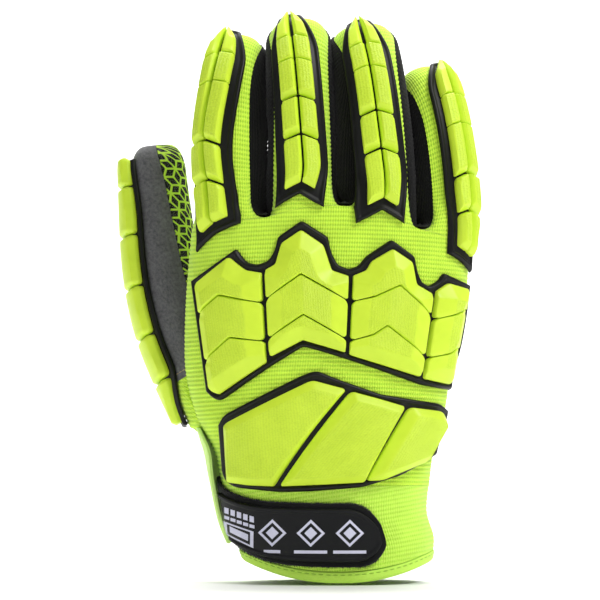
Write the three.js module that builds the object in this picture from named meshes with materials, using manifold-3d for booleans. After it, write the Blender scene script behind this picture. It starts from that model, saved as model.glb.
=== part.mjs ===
// Impact glove for the right hand, held upright in the form of a hand.
// Millimetres. +Z runs along the fingers, +X towards the little finger, and the
// back of the hand faces -Y. The origin is the centre of the wrist opening.
import * as THREE from "three";
import Module from "manifold-3d";

const wasm = await Module();
wasm.setup();

// Driving dimensions
const HAND_WIDTH = 128;
const HAND_DEPTH = 54;
const ROOT_HEIGHT = 166;
const CUFF_HEIGHT = 44;
const FINGER_LENGTH = 94;
const FINGER_WIDTH = 32;
const FINGER_DEPTH = 28;
const FINGER_TIP = 13;
const THUMB_LENGTH = 153;
const THUMB_WIDTH = 34;
const THUMB_DEPTH = 31;
const THUMB_TIP = 14;
const HEM_HEIGHT = 5;
const HEM_RISE = 9;
const WALL = 1.6;
const HEM_WALL = 2.8;
const PANEL_GAP = 0.4;
const STRIP_GAP = 1;
const STRIP_CLEARANCES = [0, 0.1, 0.25, 0.4];
const CORE_GAP = 1;
const ROOT_BLEND = 22;
const CROTCH_ROUND = 9;
const CROTCH_RISE = 1.5;
const BASE_GAP = 0.85;
const GUARD_DIP = 0.5;
const BASE_WALL = 1.2;
const BLOCK_GAP = 0.7;
const BLOCK_HEIGHT = 3.9;
const BLOCK_EDGE = 1.2;
const BLOCK_BEVEL = 1.2;
const ROW_GAP = 1;
const GUARD_STEP = 8.5;
const FINGER_BASE_WIDTH = 22.5;
const FINGER_BLOCK_WIDTH = 12.8;
const CHEVRON = 3.5;
const KNUCKLE_FOOT = 0.499 * ROOT_HEIGHT;
const KNUCKLE_HEIGHT = 0.496 * ROOT_HEIGHT;
const KNUCKLE_WIDTH = 129;
const GUARD_WRAP = 2;
const DIVIDER = 1.6;
const HAND_GUARD_LAP = 2.6;
const HAND_GUARD_FOOT = CUFF_HEIGHT - HAND_GUARD_LAP;
const HAND_GUARD_HEIGHT = 0.454 * (ROOT_HEIGHT - CUFF_HEIGHT);
const HAND_GUARD_WIDTH = 106;
const HAND_BLOCK_HEIGHT = 4.4;
const HAND_BLOCK_GAP = 0.4;
const THUMB_BASE_WIDTH = 27;
const THUMB_BLOCK_WIDTH = 21;
const THUMB_BORDER = 2.2;
const THUMB_STEP = 11;
const STRAP_WIDTH = 29;
const STRAP_WALL = 1.9;
const STRAP_CENTRE = 22;
const STRAP_GAP = 0.5;
const STRAP_END_ROUND = 12;
const STRAP_END_LEAD = 1;
const TAB_WALL = 1.4;
const TAB_RIM = 0.9;
const TAB_MARGIN = 2.4;
const FLAP_LIFT = 4.2;
const FLAP_HEIGHT = 44;
const FLAP_FOOT = 17;

const BACK = 1;
const PALM = -1;
const SQUARENESS = 2.3;
const { degToRad, lerp } = THREE.MathUtils;

// Outline of the hand and wrist seen from the back, by height above the opening.
// Heights are shares of ROOT_HEIGHT, left and right of half the hand's width,
// back and palm of half its depth.
const HAND = [
  { at: 0.0, left: 0.56, right: 0.72, back: 1.0, palm: 0.94 },
  { at: 0.07, left: 0.62, right: 0.75, back: 1.02, palm: 0.95 },
  { at: 0.12, left: 0.67, right: 0.76, back: 1.02, palm: 0.95 },
  { at: 0.19, left: 0.72, right: 0.71, back: 1.0, palm: 0.95 },
  { at: 0.28, left: 0.77, right: 0.73, back: 1.0, palm: 0.96 },
  { at: 0.36, left: 0.82, right: 0.76, back: 1.0, palm: 0.98 },
  { at: 0.45, left: 0.94, right: 0.83, back: 1.0, palm: 1.0 },
  { at: 0.57, left: 1.02, right: 0.88, back: 0.98, palm: 0.98 },
  { at: 0.66, left: 1.03, right: 0.94, back: 0.95, palm: 0.93 },
  { at: 0.78, left: 1.02, right: 0.99, back: 0.9, palm: 0.86 },
  { at: 0.88, left: 1.0, right: 1.01, back: 0.8, palm: 0.75 },
  { at: 0.97, left: 0.98, right: 1.02, back: 0.7, palm: 0.64 },
  { at: 1.2, left: 0.94, right: 1.03, back: 0.58, palm: 0.5 },
];

// Where the hand divides into fingers: place round the back in degrees, and
// height of the crotch as a share of ROOT_HEIGHT.
const ROOTS = [
  { at: 0, round: 180, height: 0.952 },
  { at: 1, round: 114.8, height: 1.003 },
  { at: 2, round: 86.4, height: 1.034 },
  { at: 3, round: 53.2, height: 0.97 },
  { at: 4, round: 0, height: 0.904 },
];

const CURL = [
  { at: 0, turn: 0 },
  { at: 0.3, turn: 3 },
  { at: 0.55, turn: 12 },
  { at: 0.75, turn: 26 },
  { at: 0.9, turn: 42 },
  { at: 1, turn: 52 },
];
const SWELL = [
  { at: 0, size: 1.05 },
  { at: 0.25, size: 1.04 },
  { at: 0.5, size: 1.0 },
  { at: 0.8, size: 0.95 },
  { at: 1, size: 0.9 },
];
const THUMB_LEAN = [
  { at: 0, turn: -27 },
  { at: 0.35, turn: -25 },
  { at: 0.5, turn: -16 },
  { at: 0.7, turn: -7 },
  { at: 1, turn: -4 },
];
const THUMB_CURL = [
  { at: 0, turn: 6 },
  { at: 0.5, turn: 11 },
  { at: 1, turn: 9 },
];
const THUMB_SWELL = [
  { at: 0, size: 1.08 },
  { at: 0.35, size: 1.0 },
  { at: 0.6, size: 0.9 },
  { at: 0.85, size: 0.78 },
  { at: 1, size: 0.72 },
];

// Fingers: x is a share of half the hand's width, y of half its depth, length,
// width and depth are shares of the finger sizes. Seams are places round the
// finger in degrees from +X over the back, and guard is the place of the guard's
// middle at each of GUARD_AT. rows are the edges of the guard's rows, from its foot
// to its tip, as shares of the finger's length. foot is how far the chevron falls
// at the guard's foot, left and right, and level is 1 where its rows lie straight
// across the finger instead of following the roots.
const GUARD_AT = [0, 0.25, 0.45, 0.7, 0.95];
const FINGERS = [
  {
    name: "index", x: -0.675, y: 0.07, length: 0.98, width: 0.95, depth: 1.0,
    lean: [0, 0], back: [205, 61], palm: [205, 300], guardScale: 1,
    guard: [118, 129, 134, 120, 100], foot: [1, -0.5], level: 0,
    rows: [0.005, 0.23, 0.42, 0.68, 0.8, 0.95],
  },
  {
    name: "middle", x: -0.19, y: -0.04, length: 0.985, width: 0.95, depth: 1.02,
    lean: [0, -4], back: [145, 20], palm: [215, 325], guardScale: 1,
    guard: [85, 88, 92, 97, 103], foot: [1, 1], level: 1,
    rows: [0.14, 0.37, 0.54, 0.7, 0.8, 0.95],
  },
  {
    name: "ring", x: 0.35, y: -0.03, length: 0.99, width: 1.02, depth: 1.02,
    lean: [-1.5, -13], back: [122, 10], palm: [215, 325], guardScale: 1,
    guard: [77, 81, 84, 87, 91], foot: [1, 1], level: 1,
    rows: [0.09, 0.33, 0.5, 0.69, 0.79, 0.95],
  },
  {
    name: "little", x: 0.845, y: 0.12, length: 0.9, width: 0.775, depth: 0.88,
    lean: [-3, -20], back: [138, -25], palm: [240, 335], guardScale: 0.82,
    guard: [45, 45, 45, 45, 45], foot: [-0.3, 1], level: 0,
    rows: [-0.05, 0.17, 0.355, 0.6, 0.74, 0.95],
  },
];

// Blocks of a finger guard: the name and the rows from the foot that each holds. A
// crease between the rows of one block is as high as this share of the block.
const FINGER_BLOCKS = [
  { name: "block_1", from: 0, to: 1 },
  { name: "block_2", from: 1, to: 2 },
  { name: "block_tip", from: 2, to: 5 },
];
const CREASE = 0.7;

// The side strip's share of its full width, by place along the finger.
const SIDE = [
  { at: 0, share: 1 },
  { at: 0.7, share: 1 },
  { at: 0.86, share: 0.8 },
  { at: 0.934, share: 0.42 },
  { at: 0.981, share: 0.1 },
  { at: 1, share: 0.07 },
];
const TIP_END = 0.99999;
const FINGER_ROWS = [0.04, 0.1, 0.24, 0.45, 0.66, 0.86, 0.934, 0.981, TIP_END];
const SIDE_ROWS = FINGER_ROWS.slice(0, -1);
const HAND_ROWS = [0, 0.15, 0.32, 0.48, 0.66, 0.84, 1];
const BACK_COLUMNS = 6;
const PALM_COLUMNS = 3;
const SIDE_COLUMNS = 2;

// Guard outlines in the guard's own frame: across from its left edge to its
// right edge, and up from its foot, both as shares of its width and height.
const KNUCKLE_FRAME = { leftFoot: -0.856, leftTop: -1.035, rightFoot: 0.87, rightTop: 1.118 };
const KNUCKLE_TOP = [
  [0.0, 0.665], [0.148, 0.821], [0.169, 0.844], [0.181, 0.804], [0.203, 0.765],
  [0.238, 0.754], [0.277, 0.777], [0.302, 0.838], [0.31, 0.905], [0.392, 1.0],
  [0.483, 0.905], [0.491, 0.827], [0.516, 0.754], [0.555, 0.729], [0.589, 0.749],
  [0.612, 0.799], [0.696, 0.894], [0.781, 0.799], [0.793, 0.726], [0.815, 0.66],
  [0.843, 0.634], [0.876, 0.665], [0.889, 0.709], [1.0, 0.637],
];
const KNUCKLE_BOTTOM = [
  [0.0, 0.05], [0.02, 0.017], [0.045, 0.0], [0.072, 0.017], [0.264, 0.19],
  [0.395, 0.302], [0.48, 0.268], [0.679, 0.179], [0.866, 0.089], [1.0, 0.056],
];
// Each column: across from and to, then the edges between its three rows.
const KNUCKLE_COLUMNS = [
  {
    from: 0.018, to: 0.262,
    edges: [
      [[0.018, 0.648], [0.146, 0.799], [0.172, 0.76], [0.2, 0.726], [0.262, 0.71]],
      [[0.018, 0.46], [0.115, 0.587], [0.262, 0.54]],
      [[0.018, 0.2], [0.137, 0.352], [0.262, 0.33]],
      [[0.018, 0.056], [0.057, 0.034], [0.262, 0.218]],
    ],
  },
  {
    from: 0.262, to: 0.562,
    edges: [
      [[0.262, 0.722], [0.304, 0.76], [0.327, 0.877], [0.392, 0.95], [0.466, 0.866], [0.496, 0.726], [0.562, 0.69]],
      [[0.262, 0.553], [0.394, 0.704], [0.562, 0.547]],
      [[0.262, 0.335], [0.4, 0.48], [0.562, 0.335]],
      [[0.262, 0.235], [0.395, 0.335], [0.562, 0.263]],
    ],
  },
  {
    from: 0.562, to: 0.858,
    edges: [
      [[0.562, 0.69], [0.615, 0.726], [0.63, 0.775], [0.699, 0.844], [0.769, 0.771], [0.792, 0.648], [0.858, 0.592]],
      [[0.562, 0.547], [0.646, 0.581], [0.725, 0.642], [0.858, 0.464]],
      [[0.562, 0.33], [0.649, 0.369], [0.695, 0.419], [0.858, 0.235]],
      [[0.562, 0.257], [0.858, 0.128]],
    ],
  },
  {
    from: 0.858, to: 0.985,
    edges: [
      [[0.858, 0.6], [0.905, 0.655], [0.985, 0.62]],
      [[0.858, 0.447], [0.93, 0.48], [0.965, 0.51], [0.985, 0.47]],
      [[0.858, 0.235], [0.935, 0.263], [0.96, 0.296], [0.985, 0.26]],
      [[0.858, 0.123], [0.985, 0.084]],
    ],
  },
];
const HAND_GUARD_FRAME = { leftFoot: -0.903, leftTop: -0.99, rightFoot: 0.833, rightTop: 1.163 };
const HAND_GUARD_TOP = [
  [0.0, 0.548], [0.027, 0.631], [0.36, 0.963], [0.411, 1.0], [0.513, 0.921],
  [0.687, 0.805], [0.951, 0.722], [1.0, 0.656],
];
const HAND_GUARD_BOTTOM = [
  [0.0, 0.166], [0.013, 0.075], [0.056, 0.033], [0.28, 0.0], [0.43, 0.008],
  [0.685, 0.041], [0.859, 0.133], [0.953, 0.232], [1.0, 0.29],
];
const HAND_BLOCKS = [
  { top: [[0.038, 0.556], [0.398, 0.921], [0.53, 0.846]], foot: [[0.038, 0.075], [0.14, 0.055], [0.245, 0.05]] },
  { top: [[0.566, 0.83], [0.675, 0.768], [0.783, 0.705]], foot: [[0.296, 0.05], [0.49, 0.066], [0.679, 0.083]] },
  { top: [[0.824, 0.697], [0.951, 0.66], [0.985, 0.573]], foot: [[0.701, 0.095], [0.768, 0.1], [0.945, 0.241]] },
];

// Thumb guard rows from the foot to the tip, as shares of the thumb's length.
const THUMB_ROWS = [0.165, 0.3, 0.43, 0.57, 0.72, 0.87, 0.95];
const THUMB_GUARD = 180;
const THUMB_SEAM = [
  { at: 0, round: 62 },
  { at: 0.6, round: 64 },
  { at: 0.85, round: 76 },
  { at: 1, round: 92 },
];
const THUMB_BACK_SEAM = 228;
const THUMB_PANEL_ROWS = [0.1, 0.18, 0.28, 0.4, 0.53, 0.66, 0.79, 0.908, 0.96, 0.99, TIP_END];

// Height of the strap's middle above the opening and half its width, round the
// wrist in degrees, as shares of STRAP_CENTRE and STRAP_WIDTH.
const STRAP = [
  { at: 60, height: 1.0, half: 0.5 },
  { at: 98, height: 1.0, half: 0.5 },
  { at: 127, height: 1.06, half: 0.49 },
  { at: 157, height: 1.27, half: 0.47 },
  { at: 180, height: 1.5, half: 0.45 },
  { at: 215, height: 1.58, half: 0.45 },
  { at: 260, height: 1.58, half: 0.45 },
];
const STRAP_FROM = 62;
const STRAP_TO = 250;
const TAB_TO = 160;

// The pale fold beside the strap: lift and reach round the wrist, by height.
const FLAP = [
  { at: 0, from: 174, to: 200, lift: 0.8 },
  { at: 0.25, from: 168, to: 208, lift: 1.0 },
  { at: 0.6, from: 166, to: 214, lift: 1.05 },
  { at: 0.85, from: 166, to: 214, lift: 0.75 },
  { at: 1, from: 172, to: 208, lift: 0.3 },
];

const COLOURS = {
  knit: 0xb2f834, palm: 0x1c1e1c, strip: 0x101010, suede: 0x565658, cuff: 0xbef25f,
  rubber: 0x1e201e, block: 0xd4f042, strap: 0x1c1e22,
};

const smooth = (t) => THREE.MathUtils.smoothstep(t, 0, 1);
const roundIn = (t) => Math.sqrt(1 - (1 - Math.min(Math.max(t, 0), 1)) ** 2);
const flatten = (value, power) => Math.sign(value) * Math.abs(value) ** power;

// Smooth value of one column of a table at a place along it.
function lookUp(rows, column, at) {
  const last = rows.length - 1;
  if (at <= rows[0].at) return rows[0][column];
  if (at >= rows[last].at) return rows[last][column];
  const i = rows.findIndex((row) => row.at > at) - 1;
  const slope = (k) => {
    const before = rows[Math.max(k - 1, 0)];
    const after = rows[Math.min(k + 1, last)];
    return (after[column] - before[column]) / (after.at - before.at);
  };
  const span = rows[i + 1].at - rows[i].at;
  const t = (at - rows[i].at) / span;
  const ease = t * t * (3 - 2 * t);
  const start = slope(i) * span * t * (1 - t) ** 2;
  const end = slope(i + 1) * span * t * t * (t - 1);
  return lerp(rows[i][column], rows[i + 1][column], ease) + start + end;
}

// Straight-line value of a polyline of [across, up] pairs.
function alongLine(points, across) {
  const last = points.length - 1;
  const next = points.findIndex((point) => point[0] > across);
  const i = next < 0 ? last - 1 : Math.max(next - 1, 0);
  const t = (across - points[i][0]) / (points[i + 1][0] - points[i][0]);
  return lerp(points[i][1], points[i + 1][1], t);
}

// Point of a polyline by its share of the corners passed.
function cornerPoint(points, share) {
  const place = share * (points.length - 1);
  const i = Math.min(Math.floor(place), points.length - 2);
  const t = place - i;
  return [lerp(points[i][0], points[i + 1][0], t), lerp(points[i][1], points[i + 1][1], t)];
}

// A sheet of quads, each corner with an outer and an inner point, closed to a solid.
class Sheet {
  constructor() {
    this.outer = [];
    this.inner = [];
    this.quads = [];
  }

  corner(outer, inner) {
    this.outer.push(outer);
    this.inner.push(inner);
    return this.outer.length - 1;
  }

  quad(a, b, c, d) {
    this.quads.push([a, b, c, d]);
  }

  // Rows of corners joined by quads; a closed row returns to its first corner.
  join(rows, closed = false) {
    for (let r = 0; r + 1 < rows.length; r++) {
      const count = rows[r].length;
      for (let c = 0; c < (closed ? count : count - 1); c++) {
        const n = (c + 1) % count;
        this.quad(rows[r][c], rows[r][n], rows[r + 1][n], rows[r + 1][c]);
      }
    }
    return this;
  }

  geometry() {
    const total = this.outer.length;
    const index = [];
    const edges = new Map();
    for (const quad of this.quads) {
      const [a, b, c, d] = quad;
      index.push(a, b, c, a, c, d);
      index.push(a + total, c + total, b + total, a + total, d + total, c + total);
      quad.forEach((from, k) => {
        const to = quad[(k + 1) % 4];
        const back = `${to},${from}`;
        if (edges.has(back)) edges.delete(back);
        else edges.set(`${from},${to}`, [from, to]);
      });
    }
    for (const [from, to] of edges.values()) {
      index.push(from, from + total, to + total, from, to + total, to);
    }
    return solidGeometry([...this.outer, ...this.inner], index);
  }
}

// Closed geometry with its faces turned outwards.
function solidGeometry(points, index) {
  const volume = index.reduce((sum, _, k) => {
    if (k % 3) return sum;
    const [a, b, c] = [points[index[k]], points[index[k + 1]], points[index[k + 2]]];
    return sum + a.dot(new THREE.Vector3().crossVectors(b, c));
  }, 0);
  const ordered = volume < 0 ? [...index].reverse() : index;
  const geometry = new THREE.BufferGeometry();
  geometry.setAttribute("position", new THREE.Float32BufferAttribute(points.flatMap((p) => p.toArray()), 3));
  geometry.setIndex(ordered);
  return geometry;
}

// Solid through closed rings of points, with a fan over each end.
function lofted(rings) {
  const points = rings.flat();
  const count = rings[0].length;
  const index = [];
  for (let r = 0; r + 1 < rings.length; r++) {
    for (let c = 0; c < count; c++) {
      const n = (c + 1) % count;
      const [a, b, d, e] = [r * count + c, r * count + n, (r + 1) * count + n, (r + 1) * count + c];
      index.push(a, b, d, a, d, e);
    }
  }
  const centre = (ring) => ring.reduce((sum, p) => sum.add(p), new THREE.Vector3()).divideScalar(count);
  const foot = points.push(centre(rings[0])) - 1;
  const top = points.push(centre(rings[rings.length - 1])) - 1;
  const lastRing = (rings.length - 1) * count;
  for (let c = 0; c < count; c++) {
    const n = (c + 1) % count;
    index.push(foot, n, c, top, lastRing + c, lastRing + n);
  }
  return solidGeometry(points, index);
}

function toManifold(geometry) {
  const vertProperties = new Float32Array(geometry.attributes.position.array);
  const triVerts = new Uint32Array(geometry.index.array);
  return new wasm.Manifold(new wasm.Mesh({ numProp: 3, vertProperties, triVerts }));
}

function fromManifold(solid) {
  const mesh = solid.getMesh();
  const geometry = new THREE.BufferGeometry();
  geometry.setAttribute("position", new THREE.BufferAttribute(new Float32Array(mesh.vertProperties), 3));
  geometry.setIndex(new THREE.BufferAttribute(new Uint32Array(mesh.triVerts), 1));
  return geometry;
}

// What is left of a solid outside the cutters, without loose slivers.
function cutFrom(geometry, ...cutters) {
  const rest = cutters.reduce((solid, cutter) => solid.subtract(toManifold(cutter)), toManifold(geometry));
  const pieces = rest.decompose().sort((a, b) => b.volume() - a.volume());
  return fromManifold(pieces[0]);
}

// Hand and wrist surface: height above the opening, place round it in degrees
// from +X over the back, and lift off the outer face.
function loopFrame(height, lift) {
  const row = (column) => lookUp(HAND, column, height / ROOT_HEIGHT);
  const left = -row("left") * HAND_WIDTH / 2;
  const right = row("right") * HAND_WIDTH / 2;
  return {
    centre: (left + right) / 2,
    half: (right - left) / 2 + lift,
    back: row("back") * HAND_DEPTH / 2 + lift,
    palm: row("palm") * HAND_DEPTH / 2 + lift,
  };
}

function loopPoint(round, height, lift) {
  const { centre, half, back, palm } = loopFrame(height, lift);
  const turn = degToRad(round);
  const x = centre + half * flatten(Math.cos(turn), 2 / SQUARENESS);
  const depth = flatten(Math.sin(turn), 2 / SQUARENESS);
  return new THREE.Vector3(x, depth > 0 ? -back * depth : -palm * depth, height);
}

// Point of the back of the hand seen from the front at x, z.
function planPoint(x, height, lift) {
  const { centre, half } = loopFrame(height, GUARD_WRAP);
  const share = THREE.MathUtils.clamp((x - centre) / half, -0.985, 0.985);
  const round = THREE.MathUtils.radToDeg(Math.acos(flatten(share, SQUARENESS / 2)));
  return loopPoint(round, height, lift);
}

const seamTurn = PANEL_GAP * 0.6;
const crotchHeight = (column) => lookUp(ROOTS, "height", column) * ROOT_HEIGHT;

function columnPoint(side, column, height, lift) {
  const straight = ROOTS[THREE.MathUtils.clamp(Math.floor(column), 0, 3)];
  const next = ROOTS[ROOTS.indexOf(straight) + 1];
  const round = lerp(straight.round, next.round, column - straight.at);
  const kept = THREE.MathUtils.clamp(round, seamTurn, 180 - seamTurn);
  return loopPoint(side * kept, height, lift);
}

// A finger or thumb: its middle line bent through the lean and curl tables.
function makeDigit({ root, length, tip, halfWidth, halfDepth, lean, curl, swell }) {
  const steps = 48;
  const places = [root.clone()];
  const frameAt = (share) => {
    const side = degToRad(lean(share));
    const bend = degToRad(lookUp(curl, "turn", share));
    return {
      along: new THREE.Vector3(Math.sin(side) * Math.cos(bend), Math.sin(bend), Math.cos(side) * Math.cos(bend)),
      up: new THREE.Vector3(Math.sin(side) * Math.sin(bend), -Math.cos(bend), Math.cos(side) * Math.sin(bend)),
      across: new THREE.Vector3(Math.cos(side), 0, -Math.sin(side)),
    };
  };
  for (let k = 0; k < steps; k++) {
    const step = frameAt((k + 0.5) / steps).along.multiplyScalar(length / steps);
    places.push(places[k].clone().add(step));
  }
  const centreAt = (share) => {
    const place = Math.min(share, 1) * steps;
    const k = THREE.MathUtils.clamp(Math.floor(place), 0, steps - 1);
    return places[k].clone().lerp(places[k + 1], place - k);
  };
  return { length, tip, halfWidth, halfDepth, swell, frameAt, centreAt };
}

// Point of a digit: reach along it from its root, place round it, lift off it.
function digitPoint(digit, reach, round, lift) {
  const bodyEnd = digit.length - digit.tip;
  const inTip = Math.min(Math.max((reach - bodyEnd) / digit.tip, 0), 1);
  const share = Math.min(reach, bodyEnd) / digit.length;
  const { along, up, across } = digit.frameAt(share);
  const narrow = Math.sqrt(1 - inTip * inTip);
  const size = lookUp(digit.swell, "size", share);
  const width = (digit.halfWidth * size + lift) * lerp(0.35, 1, narrow ** 0.8);
  const depth = (digit.halfDepth * size + lift) * narrow ** 0.9;
  const turn = degToRad(round);
  return digit.centreAt(share)
    .addScaledVector(along, inTip * (digit.tip + lift))
    .addScaledVector(across, width * Math.cos(turn))
    .addScaledVector(up, depth * Math.sin(turn));
}

const fingers = FINGERS.map((row, k) => {
  const rootHeight = (ROOTS[k].height + ROOTS[k + 1].height) / 2 * ROOT_HEIGHT;
  const digit = makeDigit({
    root: new THREE.Vector3(row.x * HAND_WIDTH / 2, row.y * HAND_DEPTH / 2, rootHeight),
    length: row.length * FINGER_LENGTH,
    tip: FINGER_TIP,
    halfWidth: row.width * FINGER_WIDTH / 2,
    halfDepth: row.depth * FINGER_DEPTH / 2,
    lean: (share) => lerp(row.lean[0], row.lean[1], share * share),
    curl: CURL,
    swell: SWELL,
  });
  const guard = GUARD_AT.map((at, n) => ({ at, round: row.guard[n] }));
  return { ...row, guard, digit, rootHeight, order: k };
});

const thumb = makeDigit({
  root: new THREE.Vector3(-0.3 * HAND_WIDTH, 0.44 * HAND_DEPTH / 2, 0.35 * ROOT_HEIGHT),
  length: THUMB_LENGTH,
  tip: THUMB_TIP,
  halfWidth: THUMB_WIDTH / 2,
  halfDepth: THUMB_DEPTH / 2,
  lean: (share) => lookUp(THUMB_LEAN, "turn", share),
  curl: THUMB_CURL,
  swell: THUMB_SWELL,
});

// A finger's seams drawn in towards the side's middle where the strip narrows.
function seamsAt(finger, side, reach) {
  const share = lookUp(SIDE, "share", reach / finger.digit.length);
  const [left, right] = side === BACK ? finger.back : finger.palm;
  const pull = (seam, opposite) => lerp((seam + opposite) / 2, seam, share);
  const [otherLeft, otherRight] = side === BACK ? finger.palm : finger.back;
  const turn = side === BACK ? -360 : 360;
  return [
    finger.order > 0 ? pull(left, otherLeft) : left,
    finger.order < 3 ? pull(right, otherRight + turn) : right,
  ];
}

// Reach along a finger, measured near its root from the crotch of one column.
function reachFrom(finger, column, reach) {
  const offset = crotchHeight(column) - finger.rootHeight;
  return reach + offset * (1 - smooth(reach / (1.5 * ROOT_BLEND)));
}

// Skin of a finger's back or palm, run down into the hand below its root.
function skinPoint(side, finger, across, reach, lift, round = null) {
  const column = finger.order + across;
  const crotch = crotchHeight(column);
  if (reach <= 0) return columnPoint(side, column, crotch + reach, lift);
  const [left, right] = seamsAt(finger, side, reach);
  const sided = across > 0.5 ? finger.order < 3 : finger.order > 0;
  const dip = round === null ? 1 : GUARD_DIP;
  const edge = sided ? dip * Math.abs(2 * across - 1) ** 4 : 0;
  const root = columnPoint(side, column, crotch + reach * (1 - edge), lift);
  const along = reachFrom(finger, column, reach);
  const tube = digitPoint(finger.digit, along, round ?? lerp(left, right, across), lift);
  const weight = lerp(smooth(reach / ROOT_BLEND), roundIn(reach / CROTCH_ROUND), edge);
  return root.lerp(tube, weight);
}

const spread = (count) => Array.from({ length: count + 1 }, (_, k) => k / count);

// Corners of a sheet at the skin, or fatter than it by a clearance all round.
const skinCorner = (sheet, clearance) => (point) =>
  sheet.corner(point(clearance), point(-WALL - clearance));

// Rows of the hand's back or palm, from the cuff to the roots of the fingers.
function handRows(side, columns, corner) {
  const foot = CUFF_HEIGHT + PANEL_GAP;
  return HAND_ROWS.map((share) => spread(fingers.length * columns).map((t) => {
    const column = t * fingers.length;
    return corner((lift) => columnPoint(side, column, lerp(foot, crotchHeight(column), share), lift));
  }));
}

// Rows of one finger's back or palm above its root.
function fingerRows(side, finger, columns, corner, clearance = 0) {
  const trim = (t, reach) => {
    const [left, right] = seamsAt(finger, side, reach);
    const spare = PANEL_GAP / 2 - clearance;
    const inset = spare / degToRad(finger.digit.halfWidth * Math.abs(left - right));
    return lerp(inset, 1 - inset, t);
  };
  return FINGER_ROWS.map((share) => spread(columns).map((t) => {
    const reach = share * finger.digit.length;
    return corner((lift) => skinPoint(side, finger, trim(t, reach), reach, lift));
  }));
}

function handPanel(side, columns) {
  const sheet = new Sheet();
  return sheet.join(handRows(side, columns, skinCorner(sheet, 0))).geometry();
}

function fingerPanel(side, finger, columns) {
  const sheet = new Sheet();
  const corner = skinCorner(sheet, 0);
  const foot = spread(columns).map((t) =>
    corner((lift) => skinPoint(side, finger, t, PANEL_GAP, lift)));
  return sheet.join([foot, ...fingerRows(side, finger, columns, corner)]).geometry();
}

// Hand and fingers in one sheet, fatter by a clearance, to trim what lies beside them.
function wholeShell(side, columns, clearance) {
  const sheet = new Sheet();
  const corner = skinCorner(sheet, clearance);
  const rows = handRows(side, columns, corner);
  sheet.join(rows);
  const top = rows[rows.length - 1];
  for (const finger of fingers) {
    const start = finger.order * columns;
    const foot = top.slice(start, start + columns + 1);
    sheet.join([foot, ...fingerRows(side, finger, columns, corner, clearance)]);
  }
  return sheet.geometry();
}

// Side strip between two fingers: down one, round the crotch and up the other.
function sideStrip(finger, next) {
  const sheet = new Sheet();
  const column = next.order;
  const crotch = crotchHeight(column) + 2 * STRIP_GAP;
  const backRoot = columnPoint(BACK, column, crotch, 0);
  const palmRoot = columnPoint(PALM, column, crotch, 0);
  const web = (q, lift) => {
    const turn = Math.PI * q;
    return backRoot.clone().lerp(palmRoot, q)
      .add(new THREE.Vector3(0, -lift * Math.cos(turn), (CROTCH_RISE + lift) * Math.sin(turn)));
  };
  const side = (one, right) => (q, reach, lift) => {
    const [backSeam, palmSeam] = [BACK, PALM].map((face) => seamsAt(one, face, reach)[right ? 1 : 0]);
    const turn = right ? -360 : 0;
    const inset = STRIP_GAP / 2 / degToRad(one.digit.halfWidth) * (right ? -1 : 1);
    const round = lerp(backSeam + inset, palmSeam + turn - inset, q);
    const tube = digitPoint(one.digit, reachFrom(one, column, reach), round, lift);
    return web(q, lift).lerp(tube, roundIn(reach / CROTCH_ROUND));
  };
  const stations = spread(SIDE_COLUMNS);
  const row = (point) => stations.map((q) => sheet.corner(point(q, 0), point(q, -WALL)));
  const climb = (one, right) => SIDE_ROWS.map((share) => {
    const point = side(one, right);
    return row((q, lift) => point(q, share * one.digit.length, lift));
  });
  const rows = [...climb(finger, true).reverse(), row(web), ...climb(next, false)];
  const shells = STRIP_CLEARANCES.flatMap((clearance) =>
    [wholeShell(BACK, BACK_COLUMNS, clearance), wholeShell(PALM, PALM_COLUMNS, clearance)]);
  return cutFrom(sheet.join(rows).geometry(), ...shells);
}

// Thumb panel between two seams, along its whole length.
function thumbPanel(from, to, columns) {
  const sheet = new Sheet();
  const rows = THUMB_PANEL_ROWS.map((share) => {
    const reach = share * thumb.length;
    const inset = PANEL_GAP / 2 / degToRad(thumb.halfWidth);
    return spread(columns).map((t) => {
      const round = lerp(from(share) + inset, to(share) - inset, t);
      return sheet.corner(...[0, -WALL].map((lift) => digitPoint(thumb, reach, round, lift)));
    });
  });
  return sheet.join(rows).geometry();
}

// Filled hand and filled thumb, used to open one into the other.
function handCore(lift) {
  return lofted([0.24, 0.36, 0.45, 0.57, 0.66, 0.78, 0.88, 0.97].map((share) =>
    spread(32).slice(1).map((t) => loopPoint(t * 360, share * ROOT_HEIGHT, lift))));
}

function thumbCore(lift) {
  return lofted([0.04, 0.14, 0.27, 0.4, 0.53, 0.66, 0.79, 0.908, 0.96, 0.99].map((share) =>
    spread(16).slice(1).map((t) => digitPoint(thumb, share * thumb.length, t * 360, lift))));
}

// Sheet over a grid of stations; height gives the outer lift at each corner.
function gridSheet(acrosses, ups, place, foot, height) {
  const sheet = new Sheet();
  const rows = ups.map((up) => acrosses.map((across) =>
    sheet.corner(place(across, up, height(across, up)), place(across, up, foot))));
  return sheet.join(rows).geometry();
}

const BASE_TOP = BASE_GAP + BASE_WALL;
const BLOCK_FOOT = BASE_TOP + BLOCK_GAP;

// Height of a bevelled block over its foot: low at the edge, full inside.
function bevelled(atEdge, height) {
  return BLOCK_FOOT + (atEdge ? BLOCK_EDGE : height);
}

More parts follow.
